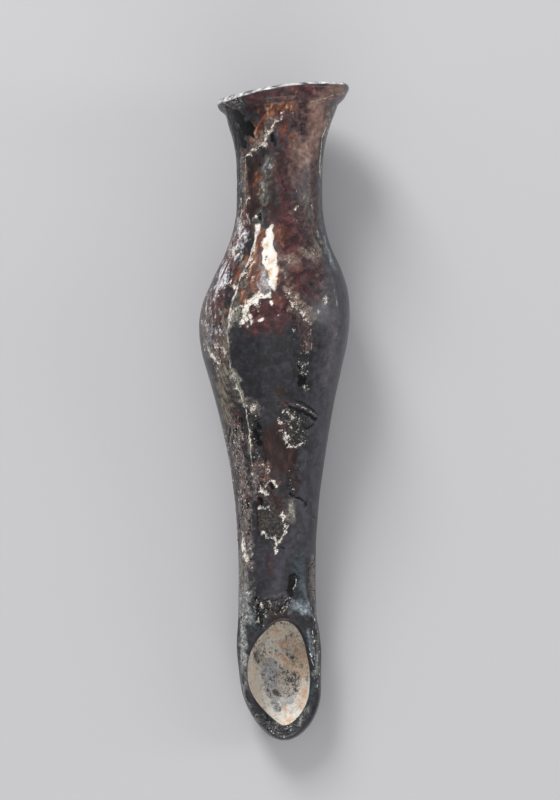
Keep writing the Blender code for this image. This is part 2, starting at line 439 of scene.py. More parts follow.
class Patina(Enum):
    """The kinds of weathering, some carrying painted highlights, sheen or glints, in the order in which they lie on the
    glass.
    """

    FILM = Layer(
        ((0.2, (0.026, 0.0245, 0.0295)), (0.8, (0.053, 0.0505, 0.0615))), scale=0.5, rough=0.36, coat=0.1, soft=3.0,
        ragged=2.4, dust=1.6, flecks=0.02, chips=0.05, grit=0.25,
    )
    # Pale film; also used for a painted sheen.
    MIST = Layer(
        ((0.2, (0.055, 0.05, 0.054)), (0.8, (0.115, 0.105, 0.112))), scale=0.7, rough=0.36, coat=0.12, soft=3.4,
        ragged=2.6, dust=2.0, channel=1, chips=0.08,
    )
    BROWN = Layer(
        ((0.1, (0.012, 0.0075, 0.008)), (0.4, (0.038, 0.022, 0.023)), (0.65, (0.073, 0.041, 0.042)),
        (0.9, (0.14, 0.084, 0.078))), scale=0.7, coat=0.1, soft=2.2, ragged=2.4, dust=1.8, channel=1, flecks=0.11,
        chips=0.16,
    )
    WINE = Layer(
        ((0.2, (0.025, 0.0105, 0.0115)), (0.55, (0.064, 0.0235, 0.025)), (0.88, (0.13, 0.054, 0.054))), scale=0.5,
        rough=0.34, coat=0.12, soft=2.6, ragged=1.8, dust=1.8, channel=2, flecks=0.05, chips=0.1,
    )
    UMBER = Layer(
        ((0.15, (0.013, 0.007, 0.0065)), (0.6, (0.029, 0.0155, 0.0145)), (0.9, (0.05, 0.027, 0.024))),
        grain=Grain.STREAKS, scale=0.6, lean=2, rough=0.34, coat=0.1, soft=1.4, ragged=1.4, dust=1.0, channel=1,
        flecks=0.015, chips=0.05,
    )
    TEAL = Layer(
        ((0.3, (0.015, 0.021, 0.026)), (0.8, (0.048, 0.066, 0.077))), scale=0.9, coat=0.1, soft=1.4, ragged=1.4,
        dust=1.0, flecks=0.05,
    )
    PINK = Layer(
        ((0.1, (0.11, 0.063, 0.05)), (0.5, (0.19, 0.113, 0.09)), (0.88, (0.3, 0.195, 0.16))), scale=0.6, coat=0.1,
        soft=2.8, ragged=2.0, dust=1.4, channel=1, flecks=0.03, chips=0.08,
    )
    TAN = Layer(
        ((0.1, (0.022, 0.018, 0.013)), (0.5, (0.12, 0.1, 0.078)), (0.88, (0.23, 0.2, 0.165))), grain=Grain.STREAKS,
        scale=1.3, lean=-14, rough=0.5, soft=1.2, ragged=1.6, dust=1.4, channel=2, flecks=0.08, chips=0.2, height=0.02,
        lumps=0.04,
    )
    LICHEN = Layer(
        ((0.1, (0.06, 0.062, 0.06)), (0.5, (0.215, 0.22, 0.21)), (0.9, (0.46, 0.465, 0.445))), scale=1.5, rough=0.45,
        coat=0.1, soft=2.0, ragged=2.4, dust=2.0, flecks=0.14, chips=0.3, grit=0.7,
    )
    OLIVE = Layer(
        ((0.2, (0.011, 0.0095, 0.0085)), (0.5, (0.037, 0.0315, 0.028)), (0.85, (0.1, 0.087, 0.077))), scale=2.4,
        rough=0.5, ragged=1.1, dust=1.0, flecks=0.05, chips=0.3, grit=0.8, lumps=0.06,
    )
    SMOKE = Layer(
        ((0.1, (0.024, 0.024, 0.022)), (0.5, (0.075, 0.075, 0.067)), (0.88, (0.16, 0.158, 0.14))), grain=Grain.STREAKS,
        scale=1.2, lean=6, rough=0.45, coat=0.1, soft=1.8, ragged=1.6, dust=1.6, channel=1, flecks=0.05, chips=0.08,
    )
    SPECK = Layer(
        ((0.2, (0.006, 0.006, 0.008)), (0.5, (0.02, 0.021, 0.024)), (0.75, (0.075, 0.078, 0.08)),
        (0.95, (0.26, 0.265, 0.25))), scale=2.4, coat=0.2, soft=1.4, ragged=1.8, dust=1.6, channel=2, flecks=0.24,
        chips=0.4, lumps=0.06, grit=0.8, grains=0.15,
    )
    MOTTLE = Layer(
        ((0.1, (0.012, 0.009, 0.011)), (0.26, (0.06, 0.03, 0.025)), (0.38, (0.12, 0.085, 0.055)),
        (0.5, (0.07, 0.066, 0.072)), (0.62, (0.15, 0.152, 0.17)), (0.72, (0.2, 0.112, 0.082)),
        (0.84, (0.24, 0.23, 0.19)), (1.0, (0.5, 0.47, 0.41))), scale=1.8, rough=0.45, coat=0.15, soft=1.4, ragged=2.0,
        dust=1.6, flecks=0.2, chips=0.35, lumps=0.12, grit=0.8, grains=0.25,
    )
    # Iridescent film; its white and bluish stops are partly painted highlights.
    SILVER = Layer(
        ((0.12, (0.03, 0.012, 0.011)), (0.38, (0.12, 0.036, 0.028)), (0.48, (0.06, 0.05, 0.06)),
        (0.57, (0.42, 0.44, 0.52)), (0.64, (0.84, 0.84, 0.86)), (0.72, (0.12, 0.05, 0.04)), (0.84, (0.62, 0.58, 0.6)),
        (0.96, (0.95, 0.94, 0.95))), grain=Grain.STREAKS, scale=0.5, lean=26, rough=0.25, coat=0.5, soft=1.6,
        ragged=2.2, dust=1.2, channel=2, flecks=0.14, chips=0.3, lumps=0.12, grit=0.8, grains=0.1,
    )
    AMBER = Layer(
        ((0.1, (0.028, 0.009, 0.006)), (0.4, (0.085, 0.028, 0.016)), (0.56, (0.165, 0.056, 0.028)),
        (0.72, (0.21, 0.096, 0.056)), (0.92, (0.42, 0.26, 0.19))), grain=Grain.STREAKS, scale=0.9, lean=24, soft=1.2,
        ragged=1.5, dust=1.4, channel=1, flecks=0.08, chips=0.15,
    )
    VEIL = Layer(
        ((0.1, (0.06, 0.04, 0.033)), (0.5, (0.15, 0.11, 0.088)), (0.88, (0.36, 0.29, 0.24))), scale=1.3, rough=0.5,
        coat=0.1, soft=1.8, ragged=1.8, dust=2.0, flecks=0.24, chips=0.25, height=0.02, lumps=0.05, grit=0.7,
        grains=0.1,
    )
    PALE = Layer(
        ((0.1, (0.06, 0.058, 0.05)), (0.5, (0.16, 0.152, 0.13)), (0.88, (0.34, 0.32, 0.275))), grain=Grain.STREAKS,
        scale=1.6, lean=-10, rough=0.5, coat=0.1, soft=0.6, dust=1.0, flecks=0.12, chips=0.25, height=0.03, lumps=0.06,
        grit=0.7, grains=0.1,
    )
    EMBER = Layer(
        ((0.2, (0.06, 0.026, 0.018)), (0.6, (0.15, 0.078, 0.05)), (0.9, (0.36, 0.24, 0.17))), scale=1.6, coat=0.1,
        soft=0.3, ragged=0.5, dust=0.6, channel=1, flecks=0.08, chips=0.2, lumps=0.04,
    )
    # Small bluish-white crust, partly painted glints.
    ICE = Layer(
        ((0.2, (0.07, 0.074, 0.09)), (0.6, (0.23, 0.24, 0.27)), (0.9, (0.6, 0.61, 0.63))), scale=1.6, rough=0.3,
        coat=0.15, soft=0.3, ragged=0.5, dust=0.6, channel=2, flecks=0.12, chips=0.2, lumps=0.04,
    )
    # Bluish frost; on the right shoulder it is a painted highlight.
    FROST = Layer(
        ((0.1, (0.05, 0.06, 0.07)), (0.5, (0.14, 0.165, 0.185)), (0.88, (0.34, 0.38, 0.41))), scale=1.6, coat=0.3,
        soft=1.6, ragged=1.8, dust=1.4, channel=1, flecks=0.08, chips=0.1, lumps=0.04,
    )
    PIT = Layer(
        ((0.2, (0.004, 0.004, 0.005)), (0.5, (0.012, 0.0115, 0.012)), (0.72, (0.045, 0.043, 0.041)),
        (0.95, (0.26, 0.25, 0.23))), grain=Grain.CELLS, scale=3.0, rough=0.36, coat=0.2, soft=0.8, ragged=1.5, dust=1.0,
        channel=1, flecks=0.1, chips=0.3, height=-0.22, lumps=0.4, grit=1.0, grains=0.25,
    )
    CREAM = Layer(
        ((0.03, (0.22, 0.16, 0.12)), (0.2, (0.52, 0.44, 0.36)), (0.45, (0.76, 0.7, 0.62)), (0.8, (0.88, 0.85, 0.79))),
        scale=1.3, rough=0.5, coat=0.1, soft=0.32, ragged=1.5, dust=1.3, channel=2, flecks=0.2, chips=0.16, height=0.05,
        lumps=0.16, grit=0.7, grains=0.6,
    )
    # Cream crust of the bulb's streak, lightened as a painted highlight.
    IVORY = Layer(
        ((0.08, (0.36, 0.18, 0.09)), (0.26, (0.6, 0.44, 0.3)), (0.46, (0.7, 0.64, 0.555)), (0.8, (0.78, 0.76, 0.72))),
        grain=Grain.STREAKS, scale=0.7, lean=4, rough=0.45, coat=0.08, soft=0.35, ragged=0.8, dust=0.6, flecks=0.03,
        chips=0.07, height=0.04, lumps=0.08, bend=0.5,
    )
    LIP = Layer(
        ((0.2, (0.035, 0.032, 0.038)), (0.32, (0.17, 0.17, 0.19)), (0.46, (0.38, 0.385, 0.4)),
        (0.62, (0.6, 0.595, 0.58)), (0.9, (0.84, 0.81, 0.77))), grain=Grain.STREAKS, scale=0.9, lean=82, rough=0.35,
        coat=0.15, soft=0.2, ragged=0.25, dust=0.3, channel=1, flecks=0.1, chips=0.14, height=0.02, grit=0.6,
    )
    BLACK = Layer(
        ((0.2, (0.0015, 0.0015, 0.002)), (0.8, (0.005, 0.005, 0.006))), scale=1.5, rough=0.25, coat=0.03, soft=0.22,
        ragged=0.9, flecks=0.02, chips=0.0, height=-0.18, lumps=0.1, grit=0.5, bend=0.25,
    )
    # Pale crust lines; also used for painted highlight lines and painted glints.
    SEAM = Layer(
        ((0.1, (0.24, 0.2, 0.165)), (0.4, (0.5, 0.45, 0.38)), (0.8, (0.78, 0.73, 0.66))), scale=1.4, rough=0.5,
        coat=0.1, soft=0.16, ragged=0.3, dust=0.3, channel=1, flecks=0.05, chips=0.06, height=0.03, bend=0.25,
    )

    @property
    def attribute(self) -> str:
        """The name of the mesh attribute that holds how deep inside this patch a point is, in millimetres."""
        return self.name.lower()


@dataclass(frozen=True)
class Stroke:
    """A patch of weathering along a line, given by (across, along) where it is seen from the front.

    With round_back, the first number is instead the angle from the front, in degrees.
    """

    patina: Patina
    reach: float
    line: tuple[Point, ...]
    round_back: bool = False


P = Patina

# Each mark's reach, followed by the points of its line.
FRONT_MARKS: dict[Patina, tuple[tuple, ...]] = {
    # Smooth grey film: all down the right side, and in patches elsewhere.
    P.FILM: (
        (4.4, (11.5, 112), (13.5, 106), (13.6, 94), (11, 82), (9.6, 73)), (3.2, (9.2, 73), (9, 58), (7.6, 45)),
        (2.4, (6, 64), (5, 48), (1, 40)), (2.0, (10.4, 131), (9.9, 118)), (1.2, (4.6, 140), (4.8, 136)),
        (2.4, (-2, 42), (0, 36), (0, 32)), (1.6, (-8.6, 24), (-8.4, 14)), (2.4, (-10.5, 70), (-9, 55), (-8.6, 38)),
    ),
    # Paler, pinkish film down the right side of the neck and the bulb; the band near the bulb's right edge is a painted
    # sheen.
    P.MIST: (
        (2.2, (8.6, 110), (10.6, 106), (10.6, 101)), (1.2, (10, 130), (10.2, 118)),
        # The first mark on this line is a painted sheen along the bulb's right edge.
        (0.9, (12.2, 106), (13.4, 98), (12.8, 90), (11.2, 82)), (1.6, (5, 107), (6, 103)),
    ),
    # Brown and rosy mottling of the neck and the shoulders.
    P.BROWN: (
        (4.4, (3.5, 146), (3, 138), (1.5, 128), (2.5, 118)), (3.0, (8, 146), (8.4, 136), (7, 126), (7.6, 118)),
        (1.9, (8, 113), (9.4, 107), (9, 101)), (1.6, (-7.2, 134), (-6.2, 124), (-6, 118)),
        (3.0, (-11, 113), (-13, 104), (-14.6, 96)), (2.6, (-13.4, 92), (-12.6, 82)), (1.6, (-3.6, 61.4), (-2.4, 58)),
        (1.2, (-9.8, 74), (-9, 66)), (1.2, (3.6, 98), (6.6, 95), (7, 90)), (1.5, (-0.6, 54.6), (0.6, 52.4)),
    ),
    # Wine-red glass that shows through.
    P.WINE: (
        (2.9, (1.5, 118), (2.4, 114), (4, 110), (4.8, 105.5), (3.6, 101.5)), (2.8, (-4, 98.4), (0.5, 99), (4.2, 100.4)),
        (1.6, (-5.6, 94.6), (0.3, 95.2)), (1.6, (-0.5, 99.5), (0.5, 103)),
        (1.6, (-5.2, 146), (0.1, 147.6), (6.4, 148.6), (13.7, 148.6)), (0.6, (-8.9, 74.4), (-8.7, 66.5)),
        (0.9, (0.5, 71), (1.2, 72.4)), (0.9, (2.4, 76), (3, 75)), (2.6, (-10.6, 111), (-13, 104), (-14.8, 99)),
        (1.2, (-7, 122), (-7.8, 117.5)), (1.4, (1.4, 145.6), (1.8, 140), (2.2, 134.5)),
        (1.2, (0.8, 131), (1.4, 125), (1.6, 119)), (0.8, (-0.6, 28.6), (1.4, 28.6)),
    ),
    # Smooth dark brown glass.
    P.UMBER: (
        (2.6, (-0.9, 69.4), (-0.6, 66.4), (0.2, 63.4)), (2.1, (1.6, 67.4), (1.8, 62.6)),
        (1.5, (3.2, 65.6), (3.3, 62), (3.8, 58)), (1.5, (-2.4, 128), (-0.6, 121)), (0.6, (-2, 41), (-1.5, 37)),
        (1.0, (-0.8, 56), (0.3, 53.2)), (1.6, (-6.2, 133), (-5.4, 127), (-5.4, 120)), (0.8, (-8.2, 124), (-8.6, 117.5)),
        (1.6, (-10.2, 140), (-9.8, 130), (-9.8, 121)), (1.5, (-3.4, 133), (-4.6, 130)),
        (0.9, (-6.4, 144.2), (-3.4, 144.8)), (0.8, (0.2, 134.6), (1, 130)), (0.6, (0.6, 79.8), (3, 79)),
        (1.1, (-1.6, 27.4), (0.2, 29.4), (2.8, 28.8)),
    ),
    # Greenish-blue glass: specks on the neck, and patches round the bowl.
    P.TEAL: (
        (0.5, (-0.9, 137.8), (0.3, 136)), (0.3, (2.6, 141), (3.6, 138.6)), (1.5, (5.2, 41), (5.9, 32)),
        (1.4, (4.2, 29.8), (7, 29.4)), (1.2, (-5.6, 30), (-5.2, 26)), (1.0, (-6.3, 66.5), (-6, 65)),
        (1.2, (7.6, 24), (9, 17), (8, 10)), (1.2, (4, 4), (7, 8)),
    ),
    # Pink bloom of the upper neck.
    P.PINK: (
        (2.4, (9.4, 145), (9.6, 141), (8.4, 137.2), (7, 134.6)), (1.1, (11.6, 149), (15.3, 149)),
        (0.5, (4.2, 138), (4.7, 133)), (0.2, (3, 131), (4, 128)), (0.7, (2, 110), (4.6, 109)),
    ),
    # Tan crust: down the left side, and in small strips.
    P.TAN: (
        (0.8, (11.9, 144.3), (11.9, 139.8)), (1.3, (-7.1, 104.6), (-8.6, 101)), (1.0, (-5.4, 103), (-5, 102)),
        (0.5, (3.4, 98.8), (5.4, 97.6)), (1.3, (-12.4, 97), (-12, 88)), (2.2, (-12.7, 84.5), (-12.2, 79), (-11.4, 73)),
        (1.6, (-13, 81), (-11.2, 72)), (0.6, (8.2, 116), (9.8, 111)), (0.9, (-9.6, 68), (-8.8, 62)),
    ),
    # Dark olive crust.
    P.OLIVE: (
        (2.7, (-1.5, 50.8), (-1.3, 49.6)), (1.0, (-7.4, 101.6), (-6.2, 104)), (1.0, (-9.6, 82), (-9.4, 76)),
    ),
    # Smoky grey streaks.
    P.SMOKE: (
        (1.1, (-1.9, 132.5), (-2.7, 130.4), (-3.1, 127), (-3.1, 123.6)), (1.0, (3.6, 54.4), (3.2, 50.2)),
        (0.9, (-9.4, 98.6), (-9.1, 96.4)), (0.8, (-3.4, 121), (-4.2, 116.6)), (1.0, (-9.8, 83.4), (-8.2, 78.4)),
        (0.6, (6.8, 124), (7.8, 119)),
    ),
    # Grey-green crust along both sides of the bowl.
    P.LICHEN: (
        (1.7, (-8.2, 42), (-8.2, 34), (-8, 26), (-8, 17)), (0.9, (-8.4, 16), (-7.8, 11), (-6.4, 7.6)),
        (1.2, (-7, 35), (-6.8, 28)), (0.9, (9, 30), (9.6, 22), (9.6, 14)), (0.7, (8.2, 41), (8.4, 36)),
    ),
    # Fine grey speckling on black glass: the left of the neck, and the rim of the bowl.
    P.SPECK: (
        (1.2, (-12.4, 144.6), (-8.8, 146.2)), (1.6, (-6.8, 7), (-3.4, 3.4), (0.6, 1.6)),
        (1.2, (9.2, 26), (9.8, 20), (9.4, 12)), (1.0, (3, 2.4), (6.6, 5.6)), (1.2, (-4.8, 31), (-3.4, 27)),
    ),
    # Speckled strips, mostly down the left edge.
    P.MOTTLE: (
        (0.8, (-8.2, 134), (-8.1, 127.5)), (1.2, (-15.9, 98.5), (-15.2, 91), (-13.8, 85)),
        (1.3, (-16.6, 101), (-16.8, 95), (-16, 88)),
        (2.3, (-10, 71), (-9, 64), (-8.2, 59), (-7.6, 54), (-7.2, 48), (-7.4, 41)),
        (1.7, (-11.9, 70), (-10.8, 62), (-9.9, 54), (-9.4, 46)), (1.4, (-7.8, 41), (-8.2, 36)),
        (1.0, (8, 40.5), (8.3, 36), (8.2, 31.6)), (0.9, (-5.4, 61), (-4.8, 57)), (0.8, (-4.5, 75.6), (-6.6, 76.8)),
    ),
    # Silver and lilac film on the left of the bulb; its white and bluish streaks are partly painted highlights.
    P.SILVER: (
        (2.5, (-8.4, 116.5), (-10.6, 110), (-13, 104.6)), (0.6, (-13.6, 103), (-15.2, 99)),
        (0.5, (-14.2, 94.8), (-15.9, 90.2)), (0.5, (-12.9, 92.9), (-13.5, 96)), (0.5, (8.3, 97.8), (8.9, 97.2)),
    ),
    # Clear amber and orange windows.
    P.AMBER: (
        (1.2, (3.5, 145.2), (-1.5, 144.3), (-3.7, 141), (-5.3, 137.2)), (0.4, (-3.8, 129.6), (-5.8, 126.4)),
        (0.7, (1.9, 139.6), (3, 138)), (1.3, (-3.6, 115.8), (-4, 113)), (2.0, (-6, 109.4), (-4.9, 106.2), (-4.4, 104)),
        (2.1, (-2, 114.4), (-1.7, 110), (-1.3, 105.6)), (0.9, (-8.2, 102.4), (-7.6, 99.6)),
        (0.9, (0.6, 116.8), (1.4, 115.8)), (0.5, (-7.4, 121.4), (-7.8, 118.2)), (0.1, (-0.4, 59.4), (0.4, 58.6)),
        (0.15, (-3.2, 62.8), (-1.8, 62.4)), (0.3, (-1, 101.6), (0.6, 100.4)), (0.9, (-8.2, 108), (-9.4, 104.5)),
        (0.6, (-4.7, 108.2), (-5.2, 106.4)),
    ),
    # A thin, peach-coloured veil round the crusts.
    P.VEIL: (
        (0.7, (-0.9, 141.3), (-2.6, 138.6), (-5.2, 135.4)), (0.35, (-7.2, 132), (-7.4, 127.7), (-7, 122.4)),
        (0.5, (1.6, 110), (4.8, 110)), (0.4, (1.6, 107.5), (2.4, 106)), (0.6, (6.6, 112), (8.8, 110.6)),
        (0.7, (2.4, 103.2), (5.4, 100), (7.3, 96.6)), (0.7, (-13.8, 90.4), (-12.6, 88.6)), (0.6, (5.5, 112), (9, 111)),
        (0.5, (-5.4, 72), (-6.2, 66)),
    ),
    # Thin pale film at the edges of the crusts.
    P.PALE: (
        (0.3, (-3, 127), (-3.1, 124.6)), (0.45, (13, 145), (12.5, 140), (11.2, 138.5), (10.7, 133.2), (9.9, 129.3)),
        (0.8, (-9.3, 98.4), (-10.2, 95.4)), (0.32, (-11.2, 96), (-11.1, 92), (-11, 89.5), (-10.8, 86), (-10.2, 83.2)),
        (0.9, (-10.2, 84.4), (-9.3, 81.8), (-8.4, 78.8), (-7.4, 77)), (0.5, (3, 54.4), (3.4, 53.2), (3, 51)),
        (0.4, (4.8, 3.4), (7, 7.4)), (0.3, (9, 117), (10.2, 114.2), (11, 111.5)), (0.4, (-7.6, 38.2), (-6.7, 36)),
        (0.9, (-8, 45), (-7.9, 38)), (0.25, (6.2, 111.3), (7.7, 110.7), (9.4, 110.5), (9.9, 112), (9.4, 113.2)),
        (0.3, (-10.9, 114), (-12, 111)),
    ),
    # Bluish frost above the bowl, and a painted highlight of the film on the right shoulder.
    P.FROST: (
        (1.1, (4, 30.6), (6.8, 29.8)), (0.3, (7.4, 24.6), (8.4, 20)), (0.8, (11, 114.5), (13, 108.4)),
    ),
    # Bluish strokes at the tip of the ivory streak, and on the neck; as crumbs in the beds they are partly painted
    # glints.
    P.ICE: (
        (0.3, (-3.6, 107.4), (-2.7, 105.2), (-1.3, 103.3)), (0.22, (-3.2, 104.8), (-1.7, 102.8)),
        (0.25, (-4.4, 104.4), (-3.6, 102.8)), (0.2, (-1.9, 132), (-2.5, 130)), (0.2, (8.6, 97.8), (9.2, 97.2)),
        (0.4, (-14.2, 94.8), (-15.6, 90.6)),
    ),
    # Beds of black and white grains.
    P.PIT: (
        (1.9, (2.6, 74.6), (4.8, 72.4), (6, 69.8), (4.2, 69)), (0.4, (-2.6, 52.6), (-0.6, 47.6)),
        (0.7, (3.4, 60.4), (3.6, 57.4)), (0.6, (4.2, 62.4), (4.4, 61.8)), (1.0, (5.4, 85.6), (6, 84.6)),
        (0.8, (-3.6, 57), (-2.2, 55.6)), (0.6, (-4.6, 66.2), (-4.4, 65)), (1.2, (-5, 73), (-4.8, 67.8)),
        (0.9, (-1.8, 46.4), (1, 46)), (0.8, (-4.4, 31.4), (-2.8, 29.8)), (0.6, (0.6, 30.2), (2.4, 31.4)),
    ),
    # White and cream crust: on the mouth, down the neck, on the bulb's shoulder, and round the beds of grains. The
    # small marks on the opening's right rim are painted sparkles and a painted highlight line.
    P.CREAM: (
        (0.05, (1.9, 143.5), (-0.4, 141.7), (-1.8, 139)), (0.5, (-2.3, 138.6), (-2.9, 137.2)),
        (0.16, (-2.6, 136.2), (-4.2, 135.2), (-5.8, 134.8), (-7, 133.6)), (0.2, (-6.6, 124), (-6.9, 122)),
        (0.15, (-3.9, 121), (-4.1, 119.5)), (0.25, (-5.3, 118.8), (-5.2, 118.6)), (0.2, (4.3, 122), (4.4, 121.8)),
        (0.2, (8.1, 122.2), (8.1, 122)), (0.65, (-2.6, 101.5), (-4.2, 101), (-6, 100.2)),
        (0.85, (-6.4, 99.8), (-7.3, 98.2)), (0.5, (-7.5, 97.4), (-7.8, 95)),
        (0.1, (-8, 98.8), (-9.8, 98.2), (-10.6, 95.4)), (0.02, (2.2, 101.7), (5.4, 98.1), (7.3, 95.6)),
        (0.12, (5.5, 80.5), (6.2, 80.3)), (0.1, (4.6, 86.2), (5.4, 86.1)), (0.25, (11.3, 100.4), (11.3, 100.3)),
        (0.6, (-14.9, 87.6), (-13.9, 86.6)), (0.3, (-15.6, 88.9), (-14.6, 88.3)), (0.2, (-13.7, 90), (-12.3, 89)),
        (0.15, (-6.4, 76.6), (-5, 75.6)), (0.1, (-9.6, 82.6), (-8.8, 79.6)), (0.3, (1.2, 75.4), (1.5, 75)),
        (0.2, (2.6, 74.2), (3, 73.6)), (0.35, (1.8, 69.8), (2.2, 68.6)), (0.25, (2.8, 67.4), (4, 66.6), (4.8, 66.8)),
        (0.25, (0.7, 73.4), (0.9, 73.3)), (0.25, (5.5, 67.4), (6, 67.8)),
        (0.1, (-2.4, 56.2), (-3.1, 56.5), (-3.1, 58.1), (-2.2, 58.9), (-1.2, 59), (0.1, 58.3)),
        (0.05, (-4.8, 60.4), (-4.5, 60.1)), (0.25, (1.1, 51.8), (1.8, 49.6), (2, 47.6)),
        (0.5, (-7.8, 46), (-7.6, 42.4)), (0.4, (1.6, 46.8), (0.5, 44.8)), (0.2, (-1.6, 45.6), (0.2, 45)),
        (0.25, (-3, 46.8), (-1.4, 46.2), (-0.4, 45.4)), (0.35, (-3.1, 53.3), (-2.8, 52.9)),
        (0.3, (-8, 47.4), (-7.6, 45), (-7.1, 42.6)), (0.5, (-7.6, 43), (-6.8, 41.2)), (0.2, (-6.8, 34), (-6.7, 33.8)),
        (0.3, (-0.4, 43.4), (0, 43)), (0.2, (-4.2, 27.8), (-4.1, 26.4)), (0.05, (2.6, 30.6), (1, 29)),
        # The marks at 7.6 to 8.9 across, on the opening's right rim, are painted sparkles and a painted highlight line.
        (0.12, (-3.7, 31.2), (-3.6, 30.2)), (0.25, (8.8, 22.6), (8.9, 22.2)), (0.2, (8.5, 27.4), (8.5, 27.2)),
        (0.12, (7.6, 20.6), (8.3, 17.4)),
    ),
    # The long, smooth ivory streak at the top of the bulb: cream crust with a painted highlight where the key lamp's
    # reflection falls.
    P.IVORY: (
        (0.8, (-1.5, 116.8), (-1.8, 115.4)), (1.5, (-1.9, 114), (-1.8, 111.6)), (1.25, (-1.6, 110.4), (-1.3, 108)),
        (1.1, (-1.3, 107.4), (-1, 105.2)), (0.5, (-0.8, 104.6), (-0.4, 103.2)),
        (0.35, (-4.2, 117.8), (-4.8, 114.8), (-5.4, 112)), (0.5, (-6.1, 96.9), (-5.9, 95.5)),
        (0.5, (-3.9, 96), (-3.4, 96)), (0.42, (-1.2, 99.8), (-1.1, 99.6)),
    ),
    # Thin pale lines along the edges of the film, and painted highlights: bright lines on the opening's right rim, the
    # bulb's right edge and the fold below the lip, and glints round the black gouge and cracks above the bowl.
    P.SEAM: (
        (0.24, (-4.6, 116), (-6.5, 109.2), (-8.4, 105.5), (-9.8, 101.4), (-10.9, 97.2), (-11.2, 94)),
        (0.13, (-11.2, 94), (-11.1, 89.5), (-10.8, 86), (-9.9, 82.4), (-8.6, 79.4), (-7.4, 76.4), (-7, 74.2)),
        (0.09, (-7, 74.2), (-6.5, 71.3), (-6.1, 67.1), (-5.9, 64)), (0.04, (-5.9, 64), (-5.7, 60.4), (-5.6, 57.9)),
        (0.03, (7.3, 95.6), (8, 92), (7.7, 88.2), (6.9, 85.6)), (0.1, (3.7, 77.1), (9, 74.1)),
        # Painted highlights: the lines on the opening's right rim, the bulb's right edge and the fold below the lip,
        # and the short glints round the gouge and cracks above the bowl.
        (0.1, (8.1, 25), (8.7, 20), (8.4, 16)), (0.08, (13, 103), (13.9, 98), (13.6, 92)),
        (0.06, (-7, 133.4), (-7.4, 128), (-7, 124), (-6.8, 121.4)), (0.0, (6.7, 145.5), (12.8, 147.6), (16, 147.9)),
        (0.14, (-8.3, 123.5), (-8, 121.4), (-8.5, 118.8), (-9.3, 116)), (0.08, (4.4, 36.7), (4.3, 35.4), (3.8, 34.4)),
        (0.07, (-4.7, 31.9), (-4.4, 31)), (0.06, (-3.5, 30.9), (-3.1, 30.2)), (0.07, (1.7, 31.3), (2.5, 32)),
        (0.06, (1, 29.9), (1.7, 30.4)), (0.12, (-4.2, 28.7), (-4.1, 27)), (0.05, (-3.1, 28.8), (-2.7, 27.8)),
        (0.05, (5.6, 76), (8.9, 74.2)), (0.16, (11.6, 141), (10.4, 138), (10, 134), (9.8, 129.6)),
    ),
    # Glossy black: chips, cracks, grooves and gouges.
    P.BLACK: (
        (1.8, (-11, 143), (-8.6, 142.2), (-6.8, 140)), (1.1, (-8.6, 139), (-7.6, 136.5)),
        (1.3, (-9.3, 139), (-9, 133), (-8.9, 125.4)), (0.7, (-10.6, 139), (-10.1, 130), (-10, 122)),
        (0.16, (-2.2, 110.6), (-2.3, 109.8)), (1.05, (5.9, 82.8), (5.9, 81.7)), (0.5, (5, 85.4), (5.3, 84.8)),
        (0.28, (3.8, 77.8), (9.3, 74.6)), (0.42, (3.2, 76.4), (8.7, 73.2)), (0.25, (6.6, 71), (8.3, 72)),
        (0.8, (-5, 70.4), (-4.2, 67.6)), (0.55, (-4.7, 72.8), (-3.9, 71.4)), (0.6, (-1.4, 57.9), (-1.1, 57.6)),
        (0.4, (3.2, 56.1), (4.6, 55.2), (6.6, 53.7)), (0.6, (-3.7, 54.8), (-3.6, 53.8)),
        (1.0, (3.7, 37.2), (3.4, 35.4)), (0.8, (3.3, 35), (2.7, 33)), (0.4, (-4.9, 32.4), (-4.2, 30.8)),
        (0.22, (-3.8, 32.3), (-2.4, 31.7)), (0.16, (-2.2, 31.9), (-0.8, 32)), (0.3, (-0.6, 32.1), (0.9, 32.4)),
        (0.5, (2.4, 31.5), (1.5, 30.5)), (0.4, (1.1, 30.3), (0.2, 29.3)), (0.5, (-4.4, 29.6), (-4, 26.6)),
        (0.4, (-3, 30.5), (-2.2, 30)), (0.3, (-1.8, 30.3), (-1, 29.8)), (0.6, (-3.2, 29.6), (-3.6, 27.6)),
        (0.14, (8.8, 42.1), (7.3, 39.2), (7.2, 36), (7.2, 32.8), (8.8, 30.8)),
        (0.12, (-4.4, 58), (-4.6, 52), (-4.2, 47)), (0.12, (7.4, 51.6), (9, 50.4)), (0.25, (-8.2, 98.4), (-8.1, 97.6)),
        (0.3, (0.6, 44), (1.6, 43.6)),
    ),
}


@dataclass(frozen=True)
class CrumbBed:
    """An area with small crumbs of several kinds, strewn at random round a line."""

    kinds: tuple[Patina, ...]
    count: int
    start: Point
    end: Point
    width: float
    reach: Point = (0.08, 0.34)
    length: float = 0.9
    slant: float = 0.2

    def strokes(self, draw: np.random.Generator) -> list[Stroke]:
        """Strews the crumbs.

        Args:
            draw: The source of random numbers.

        Returns:
            A short stroke for each crumb.
        """
        made = []
        for _ in range(self.count):
            share, aside = draw.uniform(), draw.uniform(-1, 1) * self.width
            across = self.start[0] + (self.end[0] - self.start[0]) * share + aside
            along = self.start[1] + (self.end[1] - self.start[1]) * share
            kind = self.kinds[draw.integers(len(self.kinds))]
            over = (across + draw.normal() * self.slant, along + draw.exponential() * self.length)
            made.append(Stroke(kind, float(draw.uniform(*self.reach)), ((float(across), float(along)), over)))
        return made


